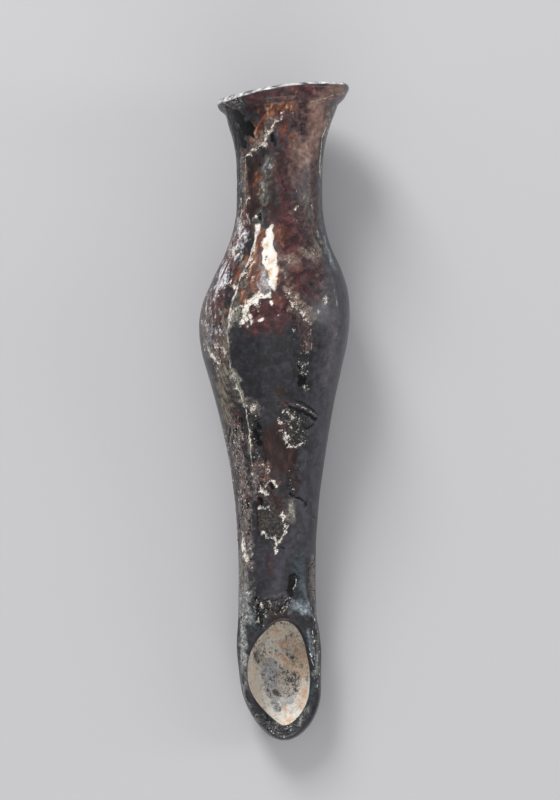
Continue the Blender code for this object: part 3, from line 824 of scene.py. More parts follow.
CRUMB_BEDS = (
    CrumbBed(
        (P.PALE, P.EMBER, P.ICE, P.EMBER, P.BROWN, P.ICE, P.BLACK), 190, (-7.4, 40), (-9.8, 71), 1.9, (0.04, 0.22),
    ),
    CrumbBed((P.SEAM, P.WINE, P.EMBER, P.ICE, P.BLACK, P.ICE), 90, (-15, 90), (-9, 116), 2.6, (0.04, 0.24), 1.6),
    CrumbBed((P.SEAM, P.PALE, P.BLACK, P.EMBER, P.UMBER), 60, (-13, 80), (-14.4, 98), 1.8, (0.04, 0.2)),
    CrumbBed((P.PALE, P.EMBER, P.BLACK, P.ICE), 60, (-9, 118), (-10, 146), 1.6, (0.03, 0.2)),
    CrumbBed((P.EMBER, P.WINE, P.UMBER, P.BLACK, P.TEAL), 70, (0, 118), (2, 145), 5.0, (0.06, 0.36), 1.4),
    CrumbBed((P.PALE, P.BLACK, P.LICHEN, P.ICE), 80, (-8, 10), (-8, 38), 1.3, (0.03, 0.2)),
    CrumbBed((P.PALE, P.ICE, P.BLACK, P.BLACK), 70, (-6.4, 6), (2.4, 1.4), 1.0, (0.03, 0.14), 0.4),
    CrumbBed((P.ICE, P.PALE, P.BLACK), 50, (9.2, 12), (8.4, 40), 0.8, (0.03, 0.2)),
    CrumbBed((P.CREAM, P.CREAM, P.BLACK), 46, (2, 69), (5, 75), 2.2, (-0.4, 0.0), 0.4),
    CrumbBed(
        (P.EMBER, P.BLACK, P.UMBER, P.BROWN, P.BLACK, P.MOTTLE), 60, (-3.2, 54), (-3.6, 64), 2.0, (0.0, 0.13), 0.6,
    ),
    CrumbBed((P.BLACK,), 60, (-4, 30), (2.2, 30.6), 1.8, (0.05, 0.3), 0.6),
    CrumbBed((P.BLACK,), 26, (-4.2, 24.6), (-3.6, 30), 0.9, (0.05, 0.25), 0.6),
    # Painted glints on the glossy black round the cracks above the bowl.
    CrumbBed((P.SEAM,), 30, (-4, 26.5), (-0.5, 31), 1.8, (-0.06, 0.03), 0.5),
    CrumbBed((P.SEAM,), 40, (-9, 40), (-10.4, 71), 1.6, (-0.05, 0.06), 0.5),
    CrumbBed((P.BLACK, P.UMBER), 60, (-9.7, 120), (-9.9, 140), 0.4, (0.1, 0.7), 1.8),
    CrumbBed((P.PIT, P.BLACK), 46, (-9.6, 71), (-8, 44), 2.0, (0.0, 0.3), 1.4),
    CrumbBed((P.CREAM,), 70, (-10.4, 73), (-9, 42), 1.8, (-0.42, -0.05), 0.9),
    CrumbBed((P.AMBER, P.VEIL), 22, (-9.8, 72), (-8.6, 56), 1.7, (-0.5, 0.0), 1.2),
    CrumbBed((P.CREAM, P.CREAM, P.BLACK), 46, (-15.2, 91), (-13.2, 85.6), 1.3, (-0.35, 0.08), 0.8),
    CrumbBed((P.CREAM, P.SILVER, P.BLACK, P.UMBER), 90, (-15.4, 104), (-16.4, 88), 1.2, (-0.4, 0.1), 1.2),
    CrumbBed((P.CREAM, P.FROST), 44, (15, 104), (14.4, 87), 1.2, (-0.5, -0.22), 0.6),
    CrumbBed((P.CREAM,), 70, (1, 101), (8, 86), 3.6, (-0.5, -0.24), 0.6),
    CrumbBed((P.CREAM,), 40, (-8, 118), (-9.4, 110), 1.2, (-0.4, 0.0), 1.1),
    CrumbBed((P.SEAM,), 14, (-9, 132), (-9.4, 145), 1.8, (-0.05, 0.02), 0.8),
    CrumbBed((P.CREAM,), 40, (-13.4, 101), (-8.4, 115), 1.8, (-0.4, 0.0), 1.2),
    CrumbBed((P.CREAM,), 26, (-8.6, 116), (-7.6, 125), 0.8, (-0.35, -0.05), 0.8),
    CrumbBed((P.CREAM,), 30, (-4.6, 100), (-9.4, 94), 1.2, (-0.4, -0.05), 0.5),
    CrumbBed((P.CREAM,), 34, (2, 102), (7.4, 95), 0.8, (-0.4, -0.05), 0.5),
    CrumbBed((P.CREAM,), 20, (7.8, 94), (6.6, 85), 0.3, (-0.4, -0.05), 0.5),
    CrumbBed((P.CREAM,), 40, (-3, 55), (-3.8, 64), 1.8, (-0.4, -0.05), 0.5),
    CrumbBed((P.CREAM,), 60, (-9.2, 72), (-8, 42), 1.8, (-0.4, -0.02), 0.6),
    CrumbBed((P.CREAM, P.CREAM, P.BLACK), 24, (4.8, 86), (6.6, 80), 0.8, (-0.4, 0.0), 0.3),
    CrumbBed((P.EMBER, P.CREAM, P.PALE), 26, (-4, 100), (-9, 112), 1.4, (0.03, 0.18), 0.8),
)

# The reach of each kind's patches on the sides and the back, and how often it comes.
BACK_KINDS: dict[Patina, tuple[float, int]] = {
    P.FILM: (3.4, 5), P.BROWN: (2.8, 3), P.WINE: (2.2, 3), P.MOTTLE: (1.8, 4), P.TAN: (1.2, 2), P.SILVER: (1.3, 1),
    P.PALE: (0.5, 2), P.CREAM: (0.35, 3), P.BLACK: (0.5, 2), P.AMBER: (0.9, 1),
}


@dataclass(frozen=True)
class Wobble:
    """A smooth wandering number over space, made of a few waves."""

    length: float
    seed: int
    waves: int = 7
    paces: Point = (0.7, 1.6)

    def at(self, points: np.ndarray) -> np.ndarray:
        """Reads the number.

        Args:
            points: Points in the pipe's own frame.

        Returns:
            The number at each point, mostly between -1 and 1.
        """
        draw = np.random.default_rng(self.seed)
        directions = unit(draw.normal(size=(self.waves, 3)))
        pace = math.tau / self.length * draw.uniform(*self.paces, self.waves)
        start = draw.uniform(0, math.tau, self.waves)
        total = sum(np.sin(points @ (way * k) + s) for way, k, s in zip(directions, pace, start))
        return total / math.sqrt(self.waves / 2)


def seen_from_front(points: np.ndarray) -> tuple[np.ndarray, np.ndarray]:
    """Looks at points from in front of the pipe.

    Args:
        points: Points in the pipe's own frame.

    Returns:
        Where they appear, across and along.
    """
    nearer = EYE_DISTANCE / (EYE_DISTANCE - points[:, 2])
    middle = np.array(EYE_MIDDLE)
    seen = middle + (points[:, :2] - middle) * nearer[:, None]
    return seen[:, 0], seen[:, 1]


@dataclass(frozen=True)
class MouthBand:
    """The pale band along the mouth's lip, broad on the left, thin on the right and patchy at the back.

    Turns are in radians from the front, and each pair says where a change starts and ends.
    """

    back_turn: Point = (1.4, 2.2)
    left_turn: Point = (0.1, -1.2)
    crust_turn: Point = (-0.5, -1.3)
    width: float = 0.62
    wider_left: float = 0.7
    lost_at_back: float = 0.85
    patches: float = 0.5
    patch: Wobble = Wobble(6.0, 8)
    crust: Point = (1.6, -0.5)
    specks: Point = (2.0, 0.2)

    def bands(self, skin: Skin, turn: np.ndarray) -> dict[Patina, np.ndarray]:
        """Lays the band.

        Args:
            skin: The wall's points.
            turn: How far round from the front each point is.

        Returns:
            For each of the band's patches, how deep inside it each point is.
        """
        away = smoothstep(*self.back_turn, np.abs(turn))
        left = smoothstep(*self.left_turn, turn) * (1 - away)
        end = smoothstep(*self.crust_turn, turn) * (1 - away)
        lip = self.width + self.wider_left * left - away * (self.lost_at_back - self.patches * self.patch.at(skin.flat))
        gap = skin.from_mouth.reshape(-1)
        crust, specks = (size * end + edge for size, edge in (self.crust, self.specks))
        return {P.LIP: lip - gap, P.CREAM: crust - gap, P.SPECK: specks - gap}


@dataclass(frozen=True)
class Weathering:
    """Works out, for every point of the glass, how deep it lies inside each kind of patch."""

    form: PipeForm
    mouth: MouthBand = MouthBand()
    seed: int = 11
    bend: float = 0.32
    fine_bend: float = 0.5
    aside: tuple[Wobble, Wobble] = (Wobble(3.2, 1), Wobble(1.4, 2))
    onward: tuple[Wobble, Wobble] = (Wobble(3.2, 3), Wobble(1.4, 4))
    thinning: float = 0.22
    thinner: Wobble = Wobble(2.6, 5)
    side_share: float = 0.26
    side_limit: float = 0.999
    rim_fade: float = 8.0
    margin: float = 7.0
    back_patches: int = 64
    back_turn: Point = (104, 178)
    back_slant: Point = (-16, 16)
    back_along: Point = (4, 143)
    back_length: Point = (2, 16)
    back_size: Point = (0.6, 1.3)
    inside: tuple[tuple[Patina, Wobble, float, float], ...] = (
        (P.FILM, Wobble(15.0, 6), 1.0, 1.4), (P.BROWN, Wobble(14.0, 9), 1.6, -0.4), (P.TAN, Wobble(18.0, 7), 1.6, -1.7),
    )

    def girth(self, along: Any) -> np.ndarray:
        """The pipe's radius at some places, the bowl included."""
        along = np.asarray(along, float)
        return np.where(along < self.form.bowl_start, self.form.bowl_radius.at(along), self.form.radius.at(along))

    def unrolled(self, points: np.ndarray) -> tuple[np.ndarray, np.ndarray]:
        """Unrolls the surface.

        Args:
            points: Points in the pipe's own frame.

        Returns:
            The way round from the front, in millimetres, and the place along, both as seen from the front.
        """
        across, along = seen_from_front(points)
        radius = self.girth(along)
        middle = self.form.drift.at(along)
        seen = np.arcsin(np.clip((across - middle) / radius, -1, 1))
        true = np.arctan2(points[:, 0] - middle, points[:, 2])
        turn = true + (seen - true) * smoothstep(0, self.side_share, points[:, 2] / radius)
        (low, low_front), (high, high_front) = self.form.rim_low, self.form.rim_high
        rim = np.interp(along, (low, high), (low_front, high_front))
        below = np.maximum(rim - np.maximum(points[:, 2], 0), 0)
        below = below * (1 - smoothstep(high - self.rim_fade, high + self.rim_fade / 2, along))
        return radius * turn + np.where(turn < 0, -below, below), along

    def back_strokes(self) -> list[Stroke]:
        """Broad film, speckled strips and a few crusts, as on the front.

        Returns:
            Strokes for the sides and the back.
        """
        draw = np.random.default_rng(self.seed)
        often = np.array([times for _, times in BACK_KINDS.values()], float)
        kinds = draw.choice(len(BACK_KINDS), self.back_patches, p=often / often.sum())
        made = []
        for kind in (list(BACK_KINDS)[k] for k in kinds):
            degrees, start = draw.uniform(*self.back_turn) * draw.choice((-1, 1)), draw.uniform(*self.back_along)
            end = (float(degrees + draw.uniform(*self.back_slant)), float(start + draw.uniform(*self.back_length)))
            reach = float(BACK_KINDS[kind][0] * draw.uniform(*self.back_size))
            made.append(Stroke(kind, reach, ((float(degrees), float(start)), end), round_back=True))
        return made

    def strokes(self) -> list[Stroke]:
        """Gathers the strokes.

        Returns:
            Those placed one by one, the crumbs, and those of the sides and the back.
        """
        draw = np.random.default_rng(self.seed)
        front = [Stroke(kind, reach, tuple(line)) for kind, marks in FRONT_MARKS.items() for reach, *line in marks]
        return [*front, *(stroke for bed in CRUMB_BEDS for stroke in bed.strokes(draw)), *self.back_strokes()]

    def line_on_surface(self, stroke: Stroke) -> tuple[np.ndarray, np.ndarray]:
        """Lays a stroke's line on the pipe.

        Args:
            stroke: The stroke.

        Returns:
            Its corners' angles from the front and places along.
        """
        across, along = np.array(stroke.line, float).T
        if stroke.round_back:
            return np.radians(across), along
        share = (across - self.form.drift.at(along)) / self.girth(along)
        return np.arcsin(np.clip(share, -self.side_limit, self.side_limit)), along

    def bent(self, points: np.ndarray, wobbles: tuple[Wobble, Wobble]) -> np.ndarray:
        """How far the patches are bent out of line at each point, in millimetres."""
        broad, fine = (wobble.at(points) for wobble in wobbles)
        return self.bend * (broad + self.fine_bend * fine)

    def fields(self, skin: Skin) -> dict[Patina, np.ndarray]:
        """Lays all strokes.

        Args:
            skin: The wall's points.

        Returns:
            For each kind of patch, how deep inside it each point is: a negative number outside it.
        """
        points, part = skin.flat, skin.part.reshape(-1)
        way, along = self.unrolled(points)
        radius = self.girth(along)
        aside, onward = self.bent(points, self.aside), self.bent(points, self.onward)
        thick = 1 + self.thinning * self.thinner.at(points)
        outside = part != Part.INSIDE.value
        made = {kind: np.full(len(points), NOWHERE) for kind in Patina}
        for stroke in self.strokes():
            angles, places = self.line_on_surface(stroke)
            margin, bent = stroke.reach + self.margin, stroke.patina.value.bend
            near = outside & (along > places.min() - margin) & (along < places.max() + margin)
            x, y = way[near] + bent * aside[near], along[near] + bent * onward[near]
            gap = gap_to_line(x, y, [angle * radius[near] for angle in angles], places)
            depths = made[stroke.patina]
            depths[near] = np.maximum(depths[near], stroke.reach * thick[near] - gap)
        for kind, depth in self.mouth.bands(skin, way / radius).items():
            made[kind] = np.maximum(made[kind], np.clip(depth, NOWHERE, None))
        for kind, wobble, gain, offset in self.inside:
            made[kind][~outside] = gain * wobble.at(points[~outside]) + offset
        return made


# ---- Node trees ----


def node_group(kind: str, name: str, inputs: Sequence[tuple[str, str]], outputs: Sequence[tuple[str, str]]) -> Tree:
    """An empty node group.

    Args:
        kind: "Shader" or "Geometry".
        name: The group's name.
        inputs: Its inputs' names and types.
        outputs: Its outputs' names and types.

    Returns:
        The group.
    """
    tree = bpy.data.node_groups.new(name, kind + "NodeTree")
    for way, sockets in (("INPUT", inputs), ("OUTPUT", outputs)):
        for title, socket in sockets:
            tree.interface.new_socket(title, in_out=way, socket_type="NodeSocket" + socket)
    return tree


@dataclass(frozen=True)
class Noise:
    """The settings of a cloudy noise. Its scale is in turns per millimetre."""

    scale: float
    detail: float = 3.0
    distortion: float = 0.0
    roughness: float = 0.6


@dataclass
class Graph:
    """A node tree, with short calls that add to it, and the place in millimetres that its patterns read."""

    tree: Tree
    at: Any = None

    def feed(self, socket: Socket, value: Any) -> None:
        """Links a socket to another, or sets its value.

        Args:
            socket: The socket.
            value: A socket or a plain value.
        """
        if isinstance(value, Socket):
            self.tree.links.new(value, socket)
        else:
            socket.default_value = value

    def add(self, kind: str, inputs: dict[Any, Any] | None = None, **settings: Any) -> Node:
        """Adds a node.

        Args:
            kind: The node's type.
            inputs: What goes into its sockets, by name or place.
            settings: The node's own settings.

        Returns:
            The node.
        """
        node = self.tree.nodes.new(kind)
        for name, value in settings.items():
            setattr(node, name, value)
        for name, value in (inputs or {}).items():
            self.feed(node.inputs[name], value)
        return node

    def given(self) -> Any:
        """The tree's own inputs."""
        return self.add("NodeGroupInput").outputs

    def placed(self, group: Tree, inputs: dict[str, Any]) -> Node:
        """A shared node group."""
        return self.add("ShaderNodeGroup", inputs, node_tree=group)

    def math(self, operation: str, *values: Any, clamp: bool = False) -> Socket:
        """The result of a Math node."""
        return self.add("ShaderNodeMath", dict(enumerate(values)), operation=operation, use_clamp=clamp).outputs[0]

    def vector(self, operation: str, *values: Any) -> Socket:
        """The result of a Vector Math node."""
        return self.add("ShaderNodeVectorMath", dict(enumerate(values)), operation=operation).outputs[0]

    def scaled(self, vector: Any, factor: Any) -> Socket:
        """A vector times a number."""
        return self.add("ShaderNodeVectorMath", {0: vector, "Scale": factor}, operation="SCALE").outputs[0]

    def parts(self, vector: Any) -> list[Socket]:
        """The three numbers in a vector or a colour."""
        return list(self.add("ShaderNodeSeparateXYZ", {0: vector}).outputs)

    def blend(self, share: Any, low: Any, high: Any) -> Socket:
        """A number that goes from low to high with share."""
        return self.add("ShaderNodeMix", {0: share, 2: low, 3: high}, data_type="FLOAT").outputs[0]

    def tint(self, share: Any, low: Any, high: Any) -> Socket:
        """A colour that goes from low to high with share."""
        low, high = ((*value, 1) if isinstance(value, tuple) else value for value in (low, high))
        return self.add("ShaderNodeMix", {0: share, 6: low, 7: high}, data_type="RGBA").outputs[2]

    def clouds(self, noise: Noise) -> Node:
        """Cloudy noise between 0 and 1, mostly near 0.5. Its second output has three such numbers."""
        inputs = {"Vector": self.at, "Scale": noise.scale, "Detail": noise.detail, "Roughness": noise.roughness}
        return self.add("ShaderNodeTexNoise", {**inputs, "Distortion": noise.distortion})

    def noise(self, noise: Noise) -> Socket:
        """One number of cloudy noise."""
        return self.clouds(noise).outputs[0]

    def swings(self, noise: Noise) -> list[Socket]:
        """Three wandering numbers, each mostly between -0.5 and 0.5."""
        return [self.math("MULTIPLY_ADD", part, 2, -1) for part in self.parts(self.clouds(noise).outputs[1])]

    def swing(self, noise: Noise, middle: float = 0.5) -> Socket:
        """Cloudy noise on both sides of 0."""
        return self.math("SUBTRACT", self.noise(noise), middle)

    def spread(self, value: Any, gain: float) -> Socket:
        """Noise with its middle stretched to fill the range from 0 to 1."""
        return self.math("MULTIPLY_ADD", value, gain, 0.5 - gain / 2, clamp=True)

    def ramp(self, share: Any, stops: Stops) -> Socket:
        """Adds a colour ramp.

        Args:
            share: What it reads, from 0 to 1.
            stops: Its stops.

        Returns:
            The colour.
        """
        node = self.add("ShaderNodeValToRGB", {0: share})
        ends = node.color_ramp.elements
        while len(ends) < len(stops):
            ends.new(0.5)
        for element, (place, colour) in zip(ends, stops):
            element.position = place
            element.color = (*colour, 1)
        return node.outputs[0]


@dataclass
class Edges:
    """What makes the edges of patches ragged, the same in shaders and in Geometry Nodes."""

    graph: Graph
    fine: bool = True
    broad_noise: Noise = Noise(0.5, 4.0)
    small_noise: Noise = Noise(1.7)
    dust_noise: Noise = Noise(5.0, 1.0)
    small_share: float = 0.7
    ragged_reach: float = 0.5
    dust_reach: float = 0.6

    def __post_init__(self) -> None:
        """Makes the noises that all patches share."""
        broad, small = self.graph.swings(self.broad_noise), self.graph.swings(self.small_noise)
        self.wander = [self.graph.math("MULTIPLY_ADD", s, self.small_share, b) for b, s in zip(broad, small)]
        self.dust = self.graph.swings(self.dust_noise) if self.fine else None

    def mask(self, depth: Any, layer: Layer) -> Socket:
        """The mask of a patch.

        Args:
            depth: How deep inside the patch a point is, in millimetres.
            layer: The patch's kind.

        Returns:
            0 outside and 1 inside.
        """
        add = self.graph.math
        moved = add("MULTIPLY_ADD", self.wander[layer.channel], layer.ragged * self.ragged_reach, depth)
        if self.dust:
            moved = add("MULTIPLY_ADD", self.dust[layer.channel], layer.dust * self.dust_reach, moved)
        return add("MULTIPLY_ADD", moved, 1 / layer.soft, 0.5, clamp=True)


@dataclass(frozen=True)
class ReliefTree:
    """Geometry Nodes that raise crusts, sink pits and dent the wall, by the patches' own masks."""

    dents: float = 0.3
    dent_noise: Noise = Noise(0.05, 1.0)
    ripple: float = 0.04
    ripple_noise: Noise = Noise(0.35, 2.0)
    lump_noise: Noise = Noise(1.6, 4.0)
    lump_middle: float = 0.42
    lump_gain: float = 2.2
    lowest: Triple = (-9.0, -9.0, 0.0)

    def build(self) -> Tree:
        """Builds the tree.

        Returns:
            The tree. Its inputs are the geometry, the sizes in millimetres, and the material.
        """
        sizes = [(name, "Float") for name in ("Dents", "Ripple", "Strength")]
        inputs = (("Geometry", "Geometry"), *sizes, ("Material", "Material"))
        graph = Graph(node_group("Geometry", "weathered_relief", inputs, (("Geometry", "Geometry"),)))
        given = graph.given()
        place = graph.add("GeometryNodeInputPosition").outputs[0]
        graph.at = graph.scaled(place, 1 / MM)
        edges = Edges(graph, fine=False)
        lumps = graph.swing(self.lump_noise, self.lump_middle)
        height: Any = 0.0
        for kind in Patina:
            layer = kind.value
            if layer.height or layer.lumps:
                mask = edges.mask(stored(graph, kind.attribute), layer)
                own = graph.math("MULTIPLY_ADD", lumps, layer.lumps * self.lump_gain, layer.height)
                height = graph.math("MULTIPLY_ADD", mask, own, height)
        height = graph.math("MULTIPLY", height, given["Strength"])
        for noise, name in ((self.dent_noise, "Dents"), (self.ripple_noise, "Ripple")):
            height = graph.math("MULTIPLY_ADD", graph.swing(noise), given[name], height)
        normal = graph.add("GeometryNodeInputNormal").outputs[0]
        moved = graph.vector("ADD", place, graph.scaled(normal, graph.math("MULTIPLY", height, MM)))
        target = graph.vector("MAXIMUM", moved, self.lowest)
        placed = graph.add("GeometryNodeSetPosition", {"Geometry": given["Geometry"], "Position": target})
        return finished(graph, placed.outputs[0], given["Material"])


def stored(graph: Graph, name: str) -> Socket:
    """A number stored on the mesh's points."""
    return graph.add("GeometryNodeInputNamedAttribute", {"Name": name}, data_type="FLOAT").outputs[0]


def finished(graph: Graph, shape: Any, material: Any) -> Tree:
    """Ends a tree of Geometry Nodes with real geometry, dressed in a material.

    Args:
        graph: The tree's graph.
        shape: The geometry so far.
        material: The material.

    Returns:
        The tree.
    """
    real = graph.add("GeometryNodeRealizeInstances", {0: shape}).outputs[0]
    dressed = graph.add("GeometryNodeSetMaterial", {"Geometry": real, "Material": material})
    graph.add("NodeGroupOutput", {0: dressed.outputs[0]})
    return graph.tree


@dataclass(frozen=True)
class GrainTree:
    """Geometry Nodes that scatter small angular grains of crust where the patches are crusty."""

    size: float = 0.15
    density: float = 2.0
    seed: int = 5
    shapes: tuple[Triple, Triple] = ((0.5, 0.4, 0.25), (1.5, 1.3, 0.8))
    turns: tuple[Triple, Triple] = ((-0.5, -0.5, 0.0), (0.5, 0.5, math.tau))

    def build(self) -> Tree:
        """Builds the tree.

        Returns:
            The tree. Its inputs are the geometry, the grains' size and density, a seed and the material.
        """
        inputs = (("Geometry", "Geometry"), ("Size", "Float"), ("Density", "Float"), ("Seed", "Int"),
                  ("Material", "Material"))
        graph = Graph(node_group("Geometry", "crust_grains", inputs, (("Geometry", "Geometry"),)))
        given = graph.given()
        density = graph.math("MULTIPLY", given["Density"], stored(graph, "grains"))
        inputs = {"Mesh": given["Geometry"], "Density": density, "Seed": given["Seed"]}
        points = graph.add("GeometryNodeDistributePointsOnFaces", inputs).outputs
        ball = graph.add("GeometryNodeMeshIcoSphere", {"Radius": given["Size"], "Subdivisions": 1}).outputs["Mesh"]
        size, turn = (self.random(graph, "FLOAT_VECTOR", *ends) for ends in (self.shapes, self.turns))
        inputs = {"Points": points["Points"], "Instance": ball, "Rotation": points["Rotation"], "Scale": size}
        set_on = graph.add("GeometryNodeInstanceOnPoints", inputs).outputs[0]
        inputs = {"Instances": set_on, "Rotation": turn, "Local Space": True}
        turned = graph.add("GeometryNodeRotateInstances", inputs).outputs[0]
        inputs = {"Geometry": turned, "Name": "shade", "Value": self.random(graph, "FLOAT", 0.0, 1.0)}
        shaded = graph.add("GeometryNodeStoreNamedAttribute", inputs, data_type="FLOAT", domain="INSTANCE").outputs[0]
        return finished(graph, shaded, given["Material"])

    @staticmethod
    def random(graph: Graph, kind: str, low: Any, high: Any) -> Socket:
        """Something random for each instance.

        Args:
            graph: The tree's graph.
            kind: The type of value.
            low: The least.
            high: The most.

        Returns:
            The number or vector.
        """
        node = graph.add("FunctionNodeRandomValue", data_type=kind)
        ends = [socket for socket in node.inputs if socket.enabled][:2]
        ends[0].default_value, ends[1].default_value = low, high
        return next(socket for socket in node.outputs if socket.enabled)


def grown(source: Thing, tree: Tree, name: str, **values: Any) -> Thing:
    """Runs Geometry Nodes on an object and keeps the result as a plain mesh.

    Args:
        source: The object to start from. It is left as it was.
        tree: The node tree.
        name: The new object's name.
        values: The tree's inputs, by their names in lower case.

    Returns:
        The new object.
    """
    modifier = source.modifiers.new("nodes", "NODES")
    modifier.node_group = tree
    for item in tree.interface.items_tree:
        key = item.name.lower()
        if item.in_out == "INPUT" and key in values:
            modifier[item.identifier] = values[key]
    seen = bpy.context.evaluated_depsgraph_get()
    mesh = bpy.data.meshes.new_from_object(source.evaluated_get(seen), preserve_all_data_layers=True, depsgraph=seen)
    mesh.name = name
    source.modifiers.remove(modifier)
    return put_in_scene(name, mesh)


def put_in_scene(name: str, data: Any) -> Thing:
    """Puts a new object in the scene.

    Args:
        name: The object's name.
        data: Its mesh, lamp or camera.

    Returns:
        The object.
    """
    made = bpy.data.objects.new(name, data)
    bpy.context.scene.collection.objects.link(made)
    return made


# ---- Materials ----


@dataclass(frozen=True)
class Grit:
    """The fine grit that all finishes share: turns a place in millimetres and an amount into a height."""

    soft: Noise = Noise(2.4, 4.0)
    sharp: Noise = Noise(8.0, 2.0)
    sharp_share: float = 0.4

    def build(self) -> Tree:
        """Builds the node group.

        Returns:
            The group.
        """
        inputs = (("Place", "Vector"), ("Amount", "Float"))
        graph = Graph(node_group("Shader", "fine_grit", inputs, (("Height", "Float"),)))
        given = graph.given()
        graph.at = given["Place"]
        soft, sharp = graph.noise(self.soft), graph.noise(self.sharp)
        total = graph.math("MULTIPLY_ADD", sharp, self.sharp_share, soft)
        graph.add("NodeGroupOutput", {"Height": graph.math("MULTIPLY", total, given["Amount"])})
        return graph.tree


@dataclass(frozen=True)
class Flecks:
    """Scattered angular flecks: turns a place, a number of flecks per millimetre and the share that they cover into a
    mask and a random shade for each fleck.
    """

    bend: float = 0.9
    bend_noise: Noise = Noise(3.0, 2.0)
    squeeze: Triple = (1.0, 0.75, 1.0)
    crowd_noise: Noise = Noise(0.45)
    crowd_gain: float = 3.0
    crowd: Point = (0.25, 1.5)
    size: float = 2.6
    sharpness: float = 7.0

    def build(self) -> Tree:
        """Builds the node group.

        Returns:
            The group.
        """
        inputs = (("Place", "Vector"), ("Scale", "Float"), ("Share", "Float"))
        graph = Graph(node_group("Shader", "scattered_flecks", inputs, (("Mask", "Float"), ("Shade", "Float"))))
        given = graph.given()
        graph.at = given["Place"]
        swirl = graph.vector("SUBTRACT", graph.clouds(self.bend_noise).outputs[1], (0.5, 0.5, 0.5))
        bent = graph.vector("ADD", graph.vector("MULTIPLY", graph.at, self.squeeze), graph.scaled(swirl, self.bend))
        cells = graph.add("ShaderNodeTexVoronoi", {"Vector": bent, "Scale": given["Scale"]}).outputs
        luck, shade, _ = graph.parts(cells["Color"])
        gathered = graph.spread(graph.noise(self.crowd_noise), self.crowd_gain)
        least, more = self.crowd
        share = graph.math("MULTIPLY", given["Share"], graph.math("MULTIPLY_ADD", gathered, more, least))
        radius = graph.math("MULTIPLY", graph.math("SUBTRACT", graph.math("ADD", luck, share), 1), self.size)
        inside = graph.math("SUBTRACT", radius, cells["Distance"])
        mask = graph.math("MULTIPLY", inside, self.sharpness, clamp=True)
        graph.add("NodeGroupOutput", {"Mask": mask, "Shade": shade})
        return graph.tree


@dataclass(frozen=True)
class Effects:
    """The node groups that the finishes share."""

    grit: Tree
    flecks: Tree


@dataclass
class Finish:
    """A material under way: a Principled shader and the things that its patterns are built from."""

    name: str
    effects: Effects
    material: Material = field(init=False)
    graph: Graph = field(init=False)
    coat_roughness: float = 0.12
    specular: float = 0.16
    bump: float = 0.1
    streak_squeeze: Triple = (1.0, 0.36, 1.0)
    streak_detail: float = 6.0
    cloud_detail: float = 7.0
    swirl: float = 0.6
    contrast: float = 2.4
    cell_share: float = 0.6
    between_cells: Noise = Noise(0.9, 4.0)
    between_contrast: float = 1.8

    def __post_init__(self) -> None:
        """Makes the bare material."""
        self.material = bpy.data.materials.new(self.name)
        self.material.use_nodes = True
        self.graph = Graph(self.material.node_tree)
        self.graph.at = self.graph.scaled(self.graph.add("ShaderNodeTexCoord").outputs["Object"], 1 / MM)

    def attribute(self, name: str) -> Socket:
        """A number stored on the mesh's points."""
        return self.graph.add("ShaderNodeAttribute", attribute_name=name).outputs["Fac"]

    def texture(self, layer: Layer) -> Socket:
        """The pattern of one kind of patch.

        Args:
            layer: The kind.

        Returns:
            Its colour.
        """
        graph = self.graph
        if layer.grain is Grain.CELLS:
            cells = graph.add("ShaderNodeTexVoronoi", {"Vector": graph.at, "Scale": layer.scale}).outputs["Color"]
            broad = graph.spread(graph.noise(self.between_cells), self.between_contrast)
            broad = graph.math("MULTIPLY", broad, 1 - self.cell_share)
            return graph.ramp(graph.math("MULTIPLY_ADD", graph.parts(cells)[0], self.cell_share, broad), layer.colours)
        drawn = graph
        if layer.grain is Grain.STREAKS:
            inputs = {"Vector": graph.at, "Angle": math.radians(layer.lean)}
            turned = graph.add("ShaderNodeVectorRotate", inputs, rotation_type="Z_AXIS").outputs[0]
            drawn = Graph(graph.tree, graph.vector("MULTIPLY", turned, self.streak_squeeze))
        detail = self.streak_detail if layer.grain is Grain.STREAKS else self.cloud_detail
        pattern = drawn.noise(Noise(layer.scale, detail, self.swirl))
        return graph.ramp(graph.spread(pattern, self.contrast), layer.colours)

    def patchwork(
        self, base: Layer, kinds: Iterable[Patina | Deposit], levels: Sequence[str]
    ) -> tuple[Any, dict[str, Any]]:
        """Lays patches over a base, one kind after another.

        Args:
            base: What lies under the patches.
            kinds: The kinds of patch.
            levels: The names of the layers' other numbers that are wanted.

        Returns:
            The colour, and the wanted numbers by name.
        """
        edges = Edges(self.graph)
        colour = self.texture(base)
        wanted = {name: getattr(base, name) for name in levels}
        for kind in kinds:
            layer = kind.value
            mask = edges.mask(self.attribute(kind.attribute), layer)
            colour = self.graph.tint(mask, colour, self.texture(layer))
            wanted = {name: self.graph.blend(mask, level, getattr(layer, name)) for name, level in wanted.items()}
        return colour, wanted

    def scatter(self, scale: float, share: Any) -> tuple[Any, Any]:
        """The mask of flecks of one size, and each one's shade."""
        inputs = {"Place": self.graph.at, "Scale": scale, "Share": share}
        return tuple(self.graph.placed(self.effects.flecks, inputs).outputs[:2])

    def end(self, colour: Any, rough: Any, coat: Any, grit: Any) -> Material:
        """Joins the patterns to the shader.

        Args:
            colour: The base colour.
            rough: The roughness.
            coat: The gloss over it.
            grit: The amount of fine grit.

        Returns:
            The finished material.
        """
        graph = self.graph
        shader = graph.tree.nodes["Principled BSDF"].inputs
        relief = graph.placed(self.effects.grit, {"Place": graph.at, "Amount": grit}).outputs[0]
        bump = graph.add("ShaderNodeBump", {"Distance": self.bump * MM, "Height": relief}).outputs[0]
        wanted = {"Base Color": colour, "Roughness": rough, "Coat Weight": coat, "Normal": bump}
        for name, value in wanted.items():
            graph.feed(shader[name], value)
        shader["Coat Roughness"].default_value = self.coat_roughness
        shader["Specular IOR Level"].default_value = self.specular
        return self.material


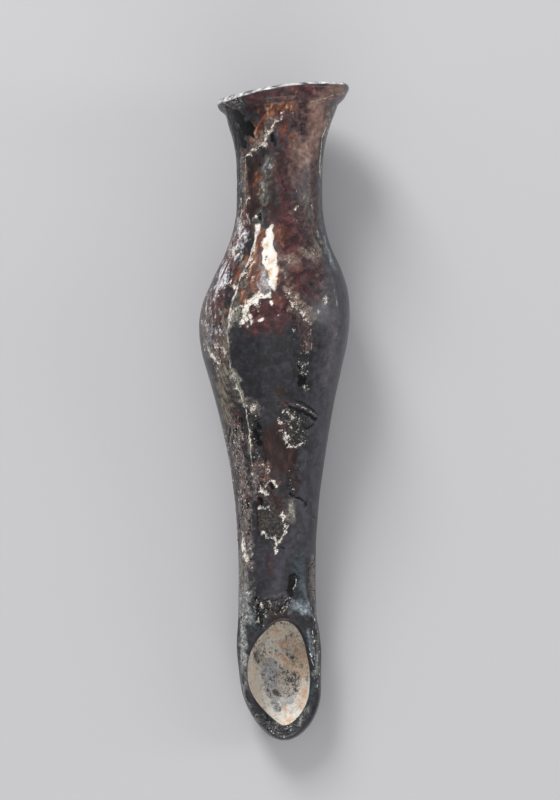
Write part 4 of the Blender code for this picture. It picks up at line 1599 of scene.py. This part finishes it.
@dataclass
class GlassFinish(Finish):
    """Dark glass under its patchwork of film, crust, pits and chips."""

    glass: Layer = Layer(
        ((0.2, (0.013, 0.0125, 0.0145)), (0.55, (0.021, 0.0205, 0.0245)), (0.9, (0.036, 0.035, 0.04))),
        scale=0.7, rough=0.32, coat=0.2, grit=0.3, flecks=0.02, chips=0.06,
    )
    # Colours of the pale flecks: crust crumbs and painted glints.
    pale: Stops = (
        (0.0, (0.1, 0.085, 0.075)), (0.45, (0.26, 0.235, 0.205)), (0.7, (0.36, 0.38, 0.4)), (0.95, (0.82, 0.79, 0.74)),
    )
    dark: Triple = (0.006, 0.005, 0.006)
    grain: float = 1.1
    grain_noise: Noise = Noise(3.2, 3.0, 0.7)
    chip_scale: float = 2.6
    fleck_scales: Point = (2.0, 4.2)
    hair_colour: Triple = (0.3, 0.27, 0.25)
    hair_share: float = 0.35
    hair_noise: Noise = Noise(0.9, 3.0, 1.2)
    hair_sharpness: float = 70.0
    hair_gain: float = 6.0

    def build(self) -> Material:
        """Builds the material, which reads the patches' attributes."""
        colour, levels = self.patchwork(self.glass, Patina, ("rough", "coat", "grit", "flecks", "chips"))
        return self.end(self.overlay(colour, levels), levels["rough"], levels["coat"], levels["grit"])

    def overlay(self, colour: Any, levels: dict[str, Any]) -> Any:
        """Strews dark chips, hairlines and pale flecks over everything. The pale flecks are partly crust and partly
        painted glints, standing in for sparkle off tiny facets.

        Args:
            colour: The patchwork's colour.
            levels: Its other numbers, by name.

        Returns:
            The colour with them.
        """
        graph = self.graph
        grain = graph.math("MULTIPLY_ADD", graph.noise(self.grain_noise), self.grain, 1 - self.grain / 2)
        colour = graph.scaled(colour, grain)
        chips, _ = self.scatter(self.chip_scale, levels["chips"])
        colour = graph.tint(chips, colour, self.dark)
        ridge = graph.math("ABSOLUTE", graph.swing(self.hair_noise))
        thin = graph.math("MULTIPLY_ADD", ridge, -self.hair_sharpness, 1, clamp=True)
        amount = graph.math("MULTIPLY", levels["flecks"], self.hair_gain, clamp=True)
        strength = graph.math("MULTIPLY", graph.math("MULTIPLY", thin, amount), self.hair_share)
        colour = graph.tint(strength, colour, self.hair_colour)
        for scale in self.fleck_scales:
            flecks, shade = self.scatter(scale, levels["flecks"])
            colour = graph.tint(flecks, colour, graph.ramp(shade, self.pale))
        return colour


@dataclass
class GrainFinish(Finish):
    """Loose grains of crust, from near-black to cream."""

    colours: Stops = (
        (0.0, (0.02, 0.016, 0.014)), (0.35, (0.1, 0.08, 0.065)), (0.6, (0.36, 0.31, 0.25)), (0.85, (0.7, 0.66, 0.58)),
    )
    rough: float = 0.5
    coat: float = 0.2
    grit: float = 0.5

    def build(self) -> Material:
        """Builds the material, which reads each grain's shade."""
        colour = self.graph.ramp(self.attribute("shade"), self.colours)
        return self.end(colour, self.rough, self.coat, self.grit)


class Deposit(Enum):
    """The patches of the deposit inside the bowl, one of them painted shade, in the order in which they lie."""

    BROWN = Layer(
        ((0.2, (0.46, 0.35, 0.26)), (0.8, (0.82, 0.68, 0.54))), scale=1.8, soft=1.3, ragged=2.0, dust=1.8, flecks=0.2,
        chips=0.26,
    )
    CREAM = Layer(
        ((0.1, (0.52, 0.46, 0.39)), (0.5, (0.8, 0.77, 0.72)), (0.9, (0.9, 0.89, 0.86))), scale=1.1, soft=0.6,
        ragged=1.6, dust=1.6, channel=1, flecks=0.1, chips=0.03,
    )
    # Painted shade: the grey-blue of the deposit's shaded facet.
    SLATE = Layer(
        ((0.15, (0.32, 0.33, 0.34)), (0.5, (0.5, 0.515, 0.53)), (0.85, (0.7, 0.71, 0.72))), scale=1.3, soft=0.25,
        ragged=0.7, channel=2, flecks=0.1, chips=0.3,
    )
    ASH = Layer(
        ((0.15, (0.3, 0.28, 0.255)), (0.5, (0.5, 0.465, 0.42)), (0.85, (0.7, 0.65, 0.58))), scale=2.2, soft=0.8,
        ragged=2.0, dust=2.0, flecks=0.2, chips=0.36,
    )
    PEACH = Layer(
        ((0.2, (0.76, 0.6, 0.46)), (0.8, (0.91, 0.82, 0.7))), scale=1.5, soft=1.2, ragged=1.8, dust=1.8, channel=1,
        flecks=0.08, chips=0.06,
    )
    RUST = Layer(
        ((0.2, (0.58, 0.34, 0.2)), (0.8, (0.82, 0.6, 0.43))), scale=1.5, soft=1.0, ragged=1.6, dust=1.6, flecks=0.08,
        chips=0.08,
    )
    SOOT = Layer(
        ((0.2, (0.05, 0.05, 0.05)), (0.8, (0.17, 0.165, 0.155))), scale=2.0, soft=0.35, ragged=1.6, dust=1.6, channel=1,
        flecks=0.1, chips=0.4,
    )

    @property
    def attribute(self) -> str:
        """The name of the mesh attribute for this patch."""
        return "deposit_" + self.name.lower()


D = Deposit

# Each mark's reach, followed by the points of its line.
DEPOSIT_MARKS: dict[Deposit, tuple[tuple, ...]] = {
    D.BROWN: (
        (1.8, (5.4, 20), (6.2, 14)), (1.2, (3.5, 23), (4.5, 21)), (1.2, (3.2, 17), (4.6, 14)),
    ),
    D.CREAM: (
        (1.4, (-5, 15.8), (-4.6, 12), (-3, 9)), (3.0, (0.4, 6.4), (3.4, 6)), (1.4, (5.4, 9.5), (6.6, 12.5)),
        (0.8, (-2.6, 22.4), (-1.6, 21)), (0.6, (-1, 24), (0.4, 23.4)), (0.5, (0.6, 20), (0.8, 21.2)),
    ),
    # Painted shade on a shaded facet of the deposit, left of the middle.
    D.SLATE: (
        (1.9, (-1.8, 16.8), (-1.2, 14), (-0.4, 10.6)), (0.9, (-0.8, 8.6), (0.2, 7)), (1.0, (1.8, 8.6), (3, 9)),
    ),
    D.ASH: (
        (2.0, (1.6, 14.4), (3.6, 12)), (0.9, (-4.6, 20.4), (-3.4, 17.8)), (0.2, (-4, 21), (-1.8, 25)),
        (0.9, (1.4, 22), (3, 18.4)), (1.2, (0.2, 11), (2.4, 10.6)),
    ),
    D.RUST: (
        (0.7, (1.4, 21.9), (1.7, 21.6)), (0.5, (1.2, 18.9), (2.4, 17.4)), (0.3, (-0.2, 19.6), (0.6, 19)),
        (0.3, (6, 19.3), (6.2, 19)), (0.4, (5.4, 8.2), (5.5, 7.4)), (0.35, (6.3, 11.2), (6.2, 9.8)),
        (0.4, (-0.4, 25), (0, 24.7)), (0.3, (3.2, 5), (2.6, 4)), (0.3, (1.6, 7.6), (2, 6.6)),
    ),
    D.PEACH: (
        (0.5, (-5.4, 16.6), (-5.2, 12), (-4, 9.4)), (0.7, (6.4, 12), (6, 9)), (0.5, (1.4, 19.4), (3, 17)),
        (0.5, (0.6, 4), (3, 4.6)), (0.9, (-1.4, 24), (1, 24.4)),
    ),
    D.SOOT: (
        (0.55, (2.4, 13.8), (3.2, 13.3)), (0.6, (-0.6, 10.8), (0.3, 10.2)), (0.15, (3.3, 24), (3.3, 23.9)),
        (0.2, (6.8, 13.9), (6.9, 13.6)), (0.2, (4, 20.4), (4.1, 20.2)), (0.3, (-5, 19.4), (-4.6, 17.8)),
        (0.2, (1.7, 15.5), (1.8, 15.4)), (0.25, (4.2, 11.6), (4.6, 11.2)), (0.2, (2.4, 19.6), (2.5, 19.5)),
        (0.25, (-0.2, 7.4), (0, 7)), (0.25, (-3.4, 21.8), (-3.2, 21.5)), (0.2, (4.6, 23.8), (4.7, 23.6)),
        (0.2, (-2.4, 24.6), (-2.2, 24.4)), (0.2, (5.8, 17), (5.9, 16.8)), (0.3, (3.4, 15.2), (4.2, 14.8)),
    ),
}


@dataclass
class DepositFinish(Finish):
    """Chalky, stained deposit inside the bowl."""

    chalk: Layer = Layer(
        ((0.1, (0.56, 0.5, 0.42)), (0.5, (0.82, 0.745, 0.65)), (0.9, (0.94, 0.89, 0.81))),
        scale=1.8, rough=0.8, coat=0.0, grit=0.8, flecks=0.19, chips=0.36,
    )
    speck: Triple = (0.07, 0.065, 0.058)
    fleck: Triple = (0.9, 0.86, 0.79)
    speck_strength: float = 0.8
    blots: float = 0.05
    blot_scale: float = 1.1
    chip_scales: Point = (2.2, 4.4)
    fleck_scale: float = 3.0

    def build(self) -> Material:
        """Builds the material.

        Returns:
            The material. It reads the deposit's attributes.
        """
        graph = self.graph
        colour, levels = self.patchwork(self.chalk, Deposit, ("flecks", "chips"))
        chips = [(scale, levels["chips"], self.speck) for scale in self.chip_scales]
        blots, flecks = (self.blot_scale, self.blots, self.speck), (self.fleck_scale, levels["flecks"], self.fleck)
        for scale, share, tone in (blots, *chips, flecks):
            mask, _ = self.scatter(scale, share)
            colour = graph.tint(graph.math("MULTIPLY", mask, self.speck_strength), colour, tone)
        return self.end(colour, self.chalk.rough, self.chalk.coat, self.chalk.grit)


# ---- Pieces ----


def hooped_mesh(name: str, hoops: np.ndarray, placement: Matrix) -> Thing:
    """Bridges a closed circuit of hoops into a mesh object.

    Args:
        name: The object's name.
        hoops: The hoops' points in the pipe's own frame, hoop by hoop.
        placement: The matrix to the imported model's frame.

    Returns:
        The object, at the origin.
    """
    rows, sides, _ = hoops.shape
    here = np.arange(rows * sides).reshape(rows, sides)
    there = np.roll(here, -1, 0)
    quads = np.stack([here, np.roll(here, -1, 1), np.roll(there, -1, 1), there], -1).reshape(-1, 4)
    matrix = np.array(placement)
    points = hoops.reshape(-1, 3) @ matrix[:3, :3].T + matrix[:3, 3]
    mesh = bpy.data.meshes.new(name)
    mesh.vertices.add(len(points))
    mesh.vertices.foreach_set("co", points.astype(np.float32).ravel())
    mesh.loops.add(quads.size)
    mesh.loops.foreach_set("vertex_index", quads.astype(np.int32).ravel())
    mesh.polygons.add(len(quads))
    mesh.polygons.foreach_set("loop_start", np.arange(0, quads.size, 4, dtype=np.int32))
    mesh.update(calc_edges=True)
    if mesh_volume(points, quads) < 0:
        mesh.flip_normals()
    mesh.shade_smooth()
    return put_in_scene(name, mesh)


def mesh_volume(points: np.ndarray, quads: np.ndarray) -> float:
    """Six times the volume inside some quads, negative if they are inside out."""
    a, b, c, d = (points[quads[:, i]] for i in range(4))
    return float((np.cross(a, b) * c).sum() + (np.cross(a, c) * d).sum())


def store(thing: Thing, name: str, values: np.ndarray) -> None:
    """Stores a number for each of a mesh's points."""
    layer = thing.data.attributes.new(name, "FLOAT", "POINT")
    layer.data.foreach_set("value", np.asarray(values, np.float32))


def put_in(thing: Thing) -> None:
    """Puts a finished piece in: it rides on the body, and the CAD node that it stands for is hidden.

    Args:
        thing: The piece.
    """
    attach(thing, BODY)
    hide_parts(NODE)
    LOG.info("%s: %d faces", thing.name, len(thing.data.polygons))


@dataclass(frozen=True)
class Lining:
    """The chalky layer inside the bowl, which thins out towards its ends and ripples in between."""

    thickness: float = 0.32
    least: float = 0.04
    buried: float = 0.25
    taper_in: Point = (0, 0.12)
    taper_out: Point = (1, 0.9)
    ripple: float = 0.25
    waves: Triple = (1.7, 0.9, 1.3)

    def hoops(self, form: PipeForm) -> np.ndarray:
        """Shapes the layer in a closed circuit.

        Args:
            form: The pipe's form.

        Returns:
            Hoops of its face, and half as many of its back, which is in the glass.
        """
        base, inwards = form.lining()
        edge = np.linspace(0, 1, len(base))[:, None]
        taper = smoothstep(*self.taper_in, edge) * smoothstep(*self.taper_out, edge)
        across, along = base[:, :, 0], base[:, :, 1]
        first, second, third = self.waves
        wave = np.sin(across * first + along * second) * np.cos(along * third)
        ripples = 1 - self.ripple + self.ripple * wave
        proud = (self.least + self.thickness * taper * ripples)[:, :, None]
        return np.concatenate([base + inwards * proud, (base - inwards * self.buried)[::-2]])


@dataclass(frozen=True)
class Pipe:
    """The whole pipe: its glass, the grains on it and the deposit in its bowl."""

    form: PipeForm = PipeForm()
    relief: ReliefTree = ReliefTree()
    grains: GrainTree = GrainTree()
    lining: Lining = Lining()
    grain_edge: float = 0.6
    deposit_ripple: float = 0.3
    deposit_bump: float = 0.16

    def build(self) -> None:
        """Builds every piece and puts it in."""
        effects = Effects(Grit().build(), Flecks().build())
        placement, relief = self.form.placement(), self.relief.build()
        glass = self.glass(placement, relief, GlassFinish("old_glass", effects).build())
        grains = self.crust_grains(glass, GrainFinish("crust_grain", effects).build())
        chalk = DepositFinish("bowl_deposit", effects, bump=self.deposit_bump).build()
        for piece in (glass, grains, self.bowl_deposit(placement, relief, chalk)):
            put_in(piece)

    def glass(self, placement: Matrix, relief: Tree, finish: Material) -> Thing:
        """The wall of the pipe, with its weathering in relief.

        Args:
            placement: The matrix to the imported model's frame.
            relief: The tree that shapes the surface.
            finish: Its material.

        Returns:
            The piece.
        """
        skin = self.form.wall_skin()
        plain = hooped_mesh("plain_glass", skin.points, placement)
        crusty = np.zeros(len(skin.flat))
        for kind, depth in Weathering(self.form).fields(skin).items():
            store(plain, kind.attribute, depth)
            crusty = np.maximum(crusty, kind.value.grains * np.clip(depth / self.grain_edge + self.grain_edge, 0, 1))
        store(plain, "grains", crusty)
        made = grown(plain, relief, "pipe_glass", dents=self.relief.dents, ripple=self.relief.ripple,
                     strength=1.0, material=finish)
        bpy.data.objects.remove(plain)
        return made

    def crust_grains(self, glass: Thing, finish: Material) -> Thing:
        """Small grains of crust that stand on the glass."""
        return grown(glass, self.grains.build(), "crust_grains", size=self.grains.size * MM,
                     density=self.grains.density / MM**2, seed=self.grains.seed, material=finish)

    def bowl_deposit(self, placement: Matrix, relief: Tree, finish: Material) -> Thing:
        """The chalky layer inside the bowl.

        Args:
            placement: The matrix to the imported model's frame.
            relief: The tree that shapes the surface.
            finish: Its material.

        Returns:
            The piece.
        """
        hoops = self.lining.hoops(self.form)
        plain = hooped_mesh("plain_deposit", hoops, placement)
        across, along = seen_from_front(hoops.reshape(-1, 3))
        for kind, marks in DEPOSIT_MARKS.items():
            depth = np.full(len(across), NOWHERE)
            for reach, *line in marks:
                depth = np.maximum(depth, reach - gap_to_line(across, along, *zip(*line)))
            store(plain, kind.attribute, depth)
        made = grown(plain, relief, "bowl_deposit", dents=self.relief.dents, ripple=self.deposit_ripple,
                     strength=0.0, material=finish)
        bpy.data.objects.remove(plain)
        return made


# ---- Studio ----


@dataclass(frozen=True)
class Softbox:
    """A soft lamp, aimed at the pipe. Its place is given from the pipe's middle. Lengths are in metres."""

    name: str
    place: Triple
    size: Point
    power: float

    def build(self, target: Vector) -> None:
        """Hangs the lamp.

        Args:
            target: The pipe's middle.
        """
        lamp = bpy.data.lights.new(self.name, "AREA")
        lamp.shape = "RECTANGLE"
        lamp.size, lamp.size_y = self.size
        lamp.energy = self.power
        thing = put_in_scene(self.name, lamp)
        thing.location = target + Vector(self.place)
        thing.rotation_euler = (-Vector(self.place)).to_track_quat("-Z", "Y").to_euler()


@dataclass(frozen=True)
class Studio:
    """A pale floor, soft light and the camera."""

    softboxes: tuple[Softbox, ...] = (
        Softbox("key", (-0.32, 0.7, 0.64), (0.3, 0.5), 8.5),
        Softbox("left", (-0.95, -0.1, 0.16), (0.22, 1.0), 0.5),
        Softbox("right", (0.95, 0.05, 0.16), (0.22, 1.1), 4.5),
        Softbox("foot", (0.1, -0.95, 0.3), (0.8, 0.3), 5.5),
        Softbox("front", (0.05, -0.35, 0.9), (0.9, 0.9), 1.4),
    )
    floor_colour: Triple = (0.46, 0.455, 0.465)
    floor_roughness: float = 0.9
    floor_half: float = 3.0
    sky: Stops = (
        (0.0, (0.26, 0.26, 0.27)), (0.4, (0.4, 0.4, 0.42)), (0.85, (0.44, 0.44, 0.45)), (1.0, (0.44, 0.44, 0.45)),
    )
    view_height: float = 183.2
    film_width: float = 36.0
    nearest: float = 0.01

    def build(self, form: PipeForm) -> None:
        """Sets up everything round the pipe.

        Args:
            form: The pipe's form.
        """
        self.floor()
        self.world()
        self.camera(form)
        low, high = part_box(NODE)
        for softbox in self.softboxes:
            softbox.build((Vector(low) + Vector(high)) / 2)

    def floor(self) -> None:
        """A wide, plain floor."""
        mesh = bpy.data.meshes.new("floor")
        signs = ((-1, -1), (1, -1), (1, 1), (-1, 1))
        mesh.from_pydata([(x * self.floor_half, y * self.floor_half, 0) for x, y in signs], [], [(0, 1, 2, 3)])
        floor = put_in_scene("floor", mesh)
        material = bpy.data.materials.new("floor")
        material.use_nodes = True
        shader = material.node_tree.nodes["Principled BSDF"]
        shader.inputs["Base Color"].default_value = (*self.floor_colour, 1)
        shader.inputs["Roughness"].default_value = self.floor_roughness
        mesh.materials.append(material)

    def world(self) -> None:
        """Soft light from the sky, dimmer towards the horizon and below it."""
        world = bpy.data.worlds.new("studio")
        bpy.context.scene.world = world
        world.use_nodes = True
        graph = Graph(world.node_tree)
        direction = graph.add("ShaderNodeTexCoord").outputs["Generated"]
        back = world.node_tree.nodes["Background"]
        graph.feed(back.inputs["Color"], graph.ramp(graph.parts(direction)[2], self.sky))
        back.inputs["Strength"].default_value = 1.0
        bpy.context.scene.view_settings.view_transform = "Standard"

    def camera(self, form: PipeForm) -> None:
        """Aims the camera straight at the pipe's front, with the mouth at the top.

        Args:
            form: The pipe's form.
        """
        placement = form.placement()
        eye = placement @ Vector((*EYE_MIDDLE, EYE_DISTANCE))
        turn = placement.to_3x3().normalized().to_4x4()
        lens = bpy.data.cameras.new("camera")
        lens.sensor_width = self.film_width
        lens.lens = lens.sensor_width * EYE_DISTANCE / self.view_height
        lens.clip_start = self.nearest
        camera = put_in_scene("camera", lens)
        camera.matrix_world = Matrix.Translation(eye) @ turn
        bpy.context.scene.camera = camera


def clear() -> None:
    """Removes any lamp or camera that the scene opened with."""
    for thing in [o for o in bpy.data.objects if o.type in {"LIGHT", "CAMERA"}]:
        bpy.data.objects.remove(thing)


def main() -> None:
    """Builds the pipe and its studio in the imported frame."""
    logging.basicConfig(level=logging.INFO, format="%(name)s: %(message)s")
    clear()
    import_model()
    pipe = Pipe()
    pipe.build()
    Studio().build(pipe.form)


if __name__ == "__main__":
    main()
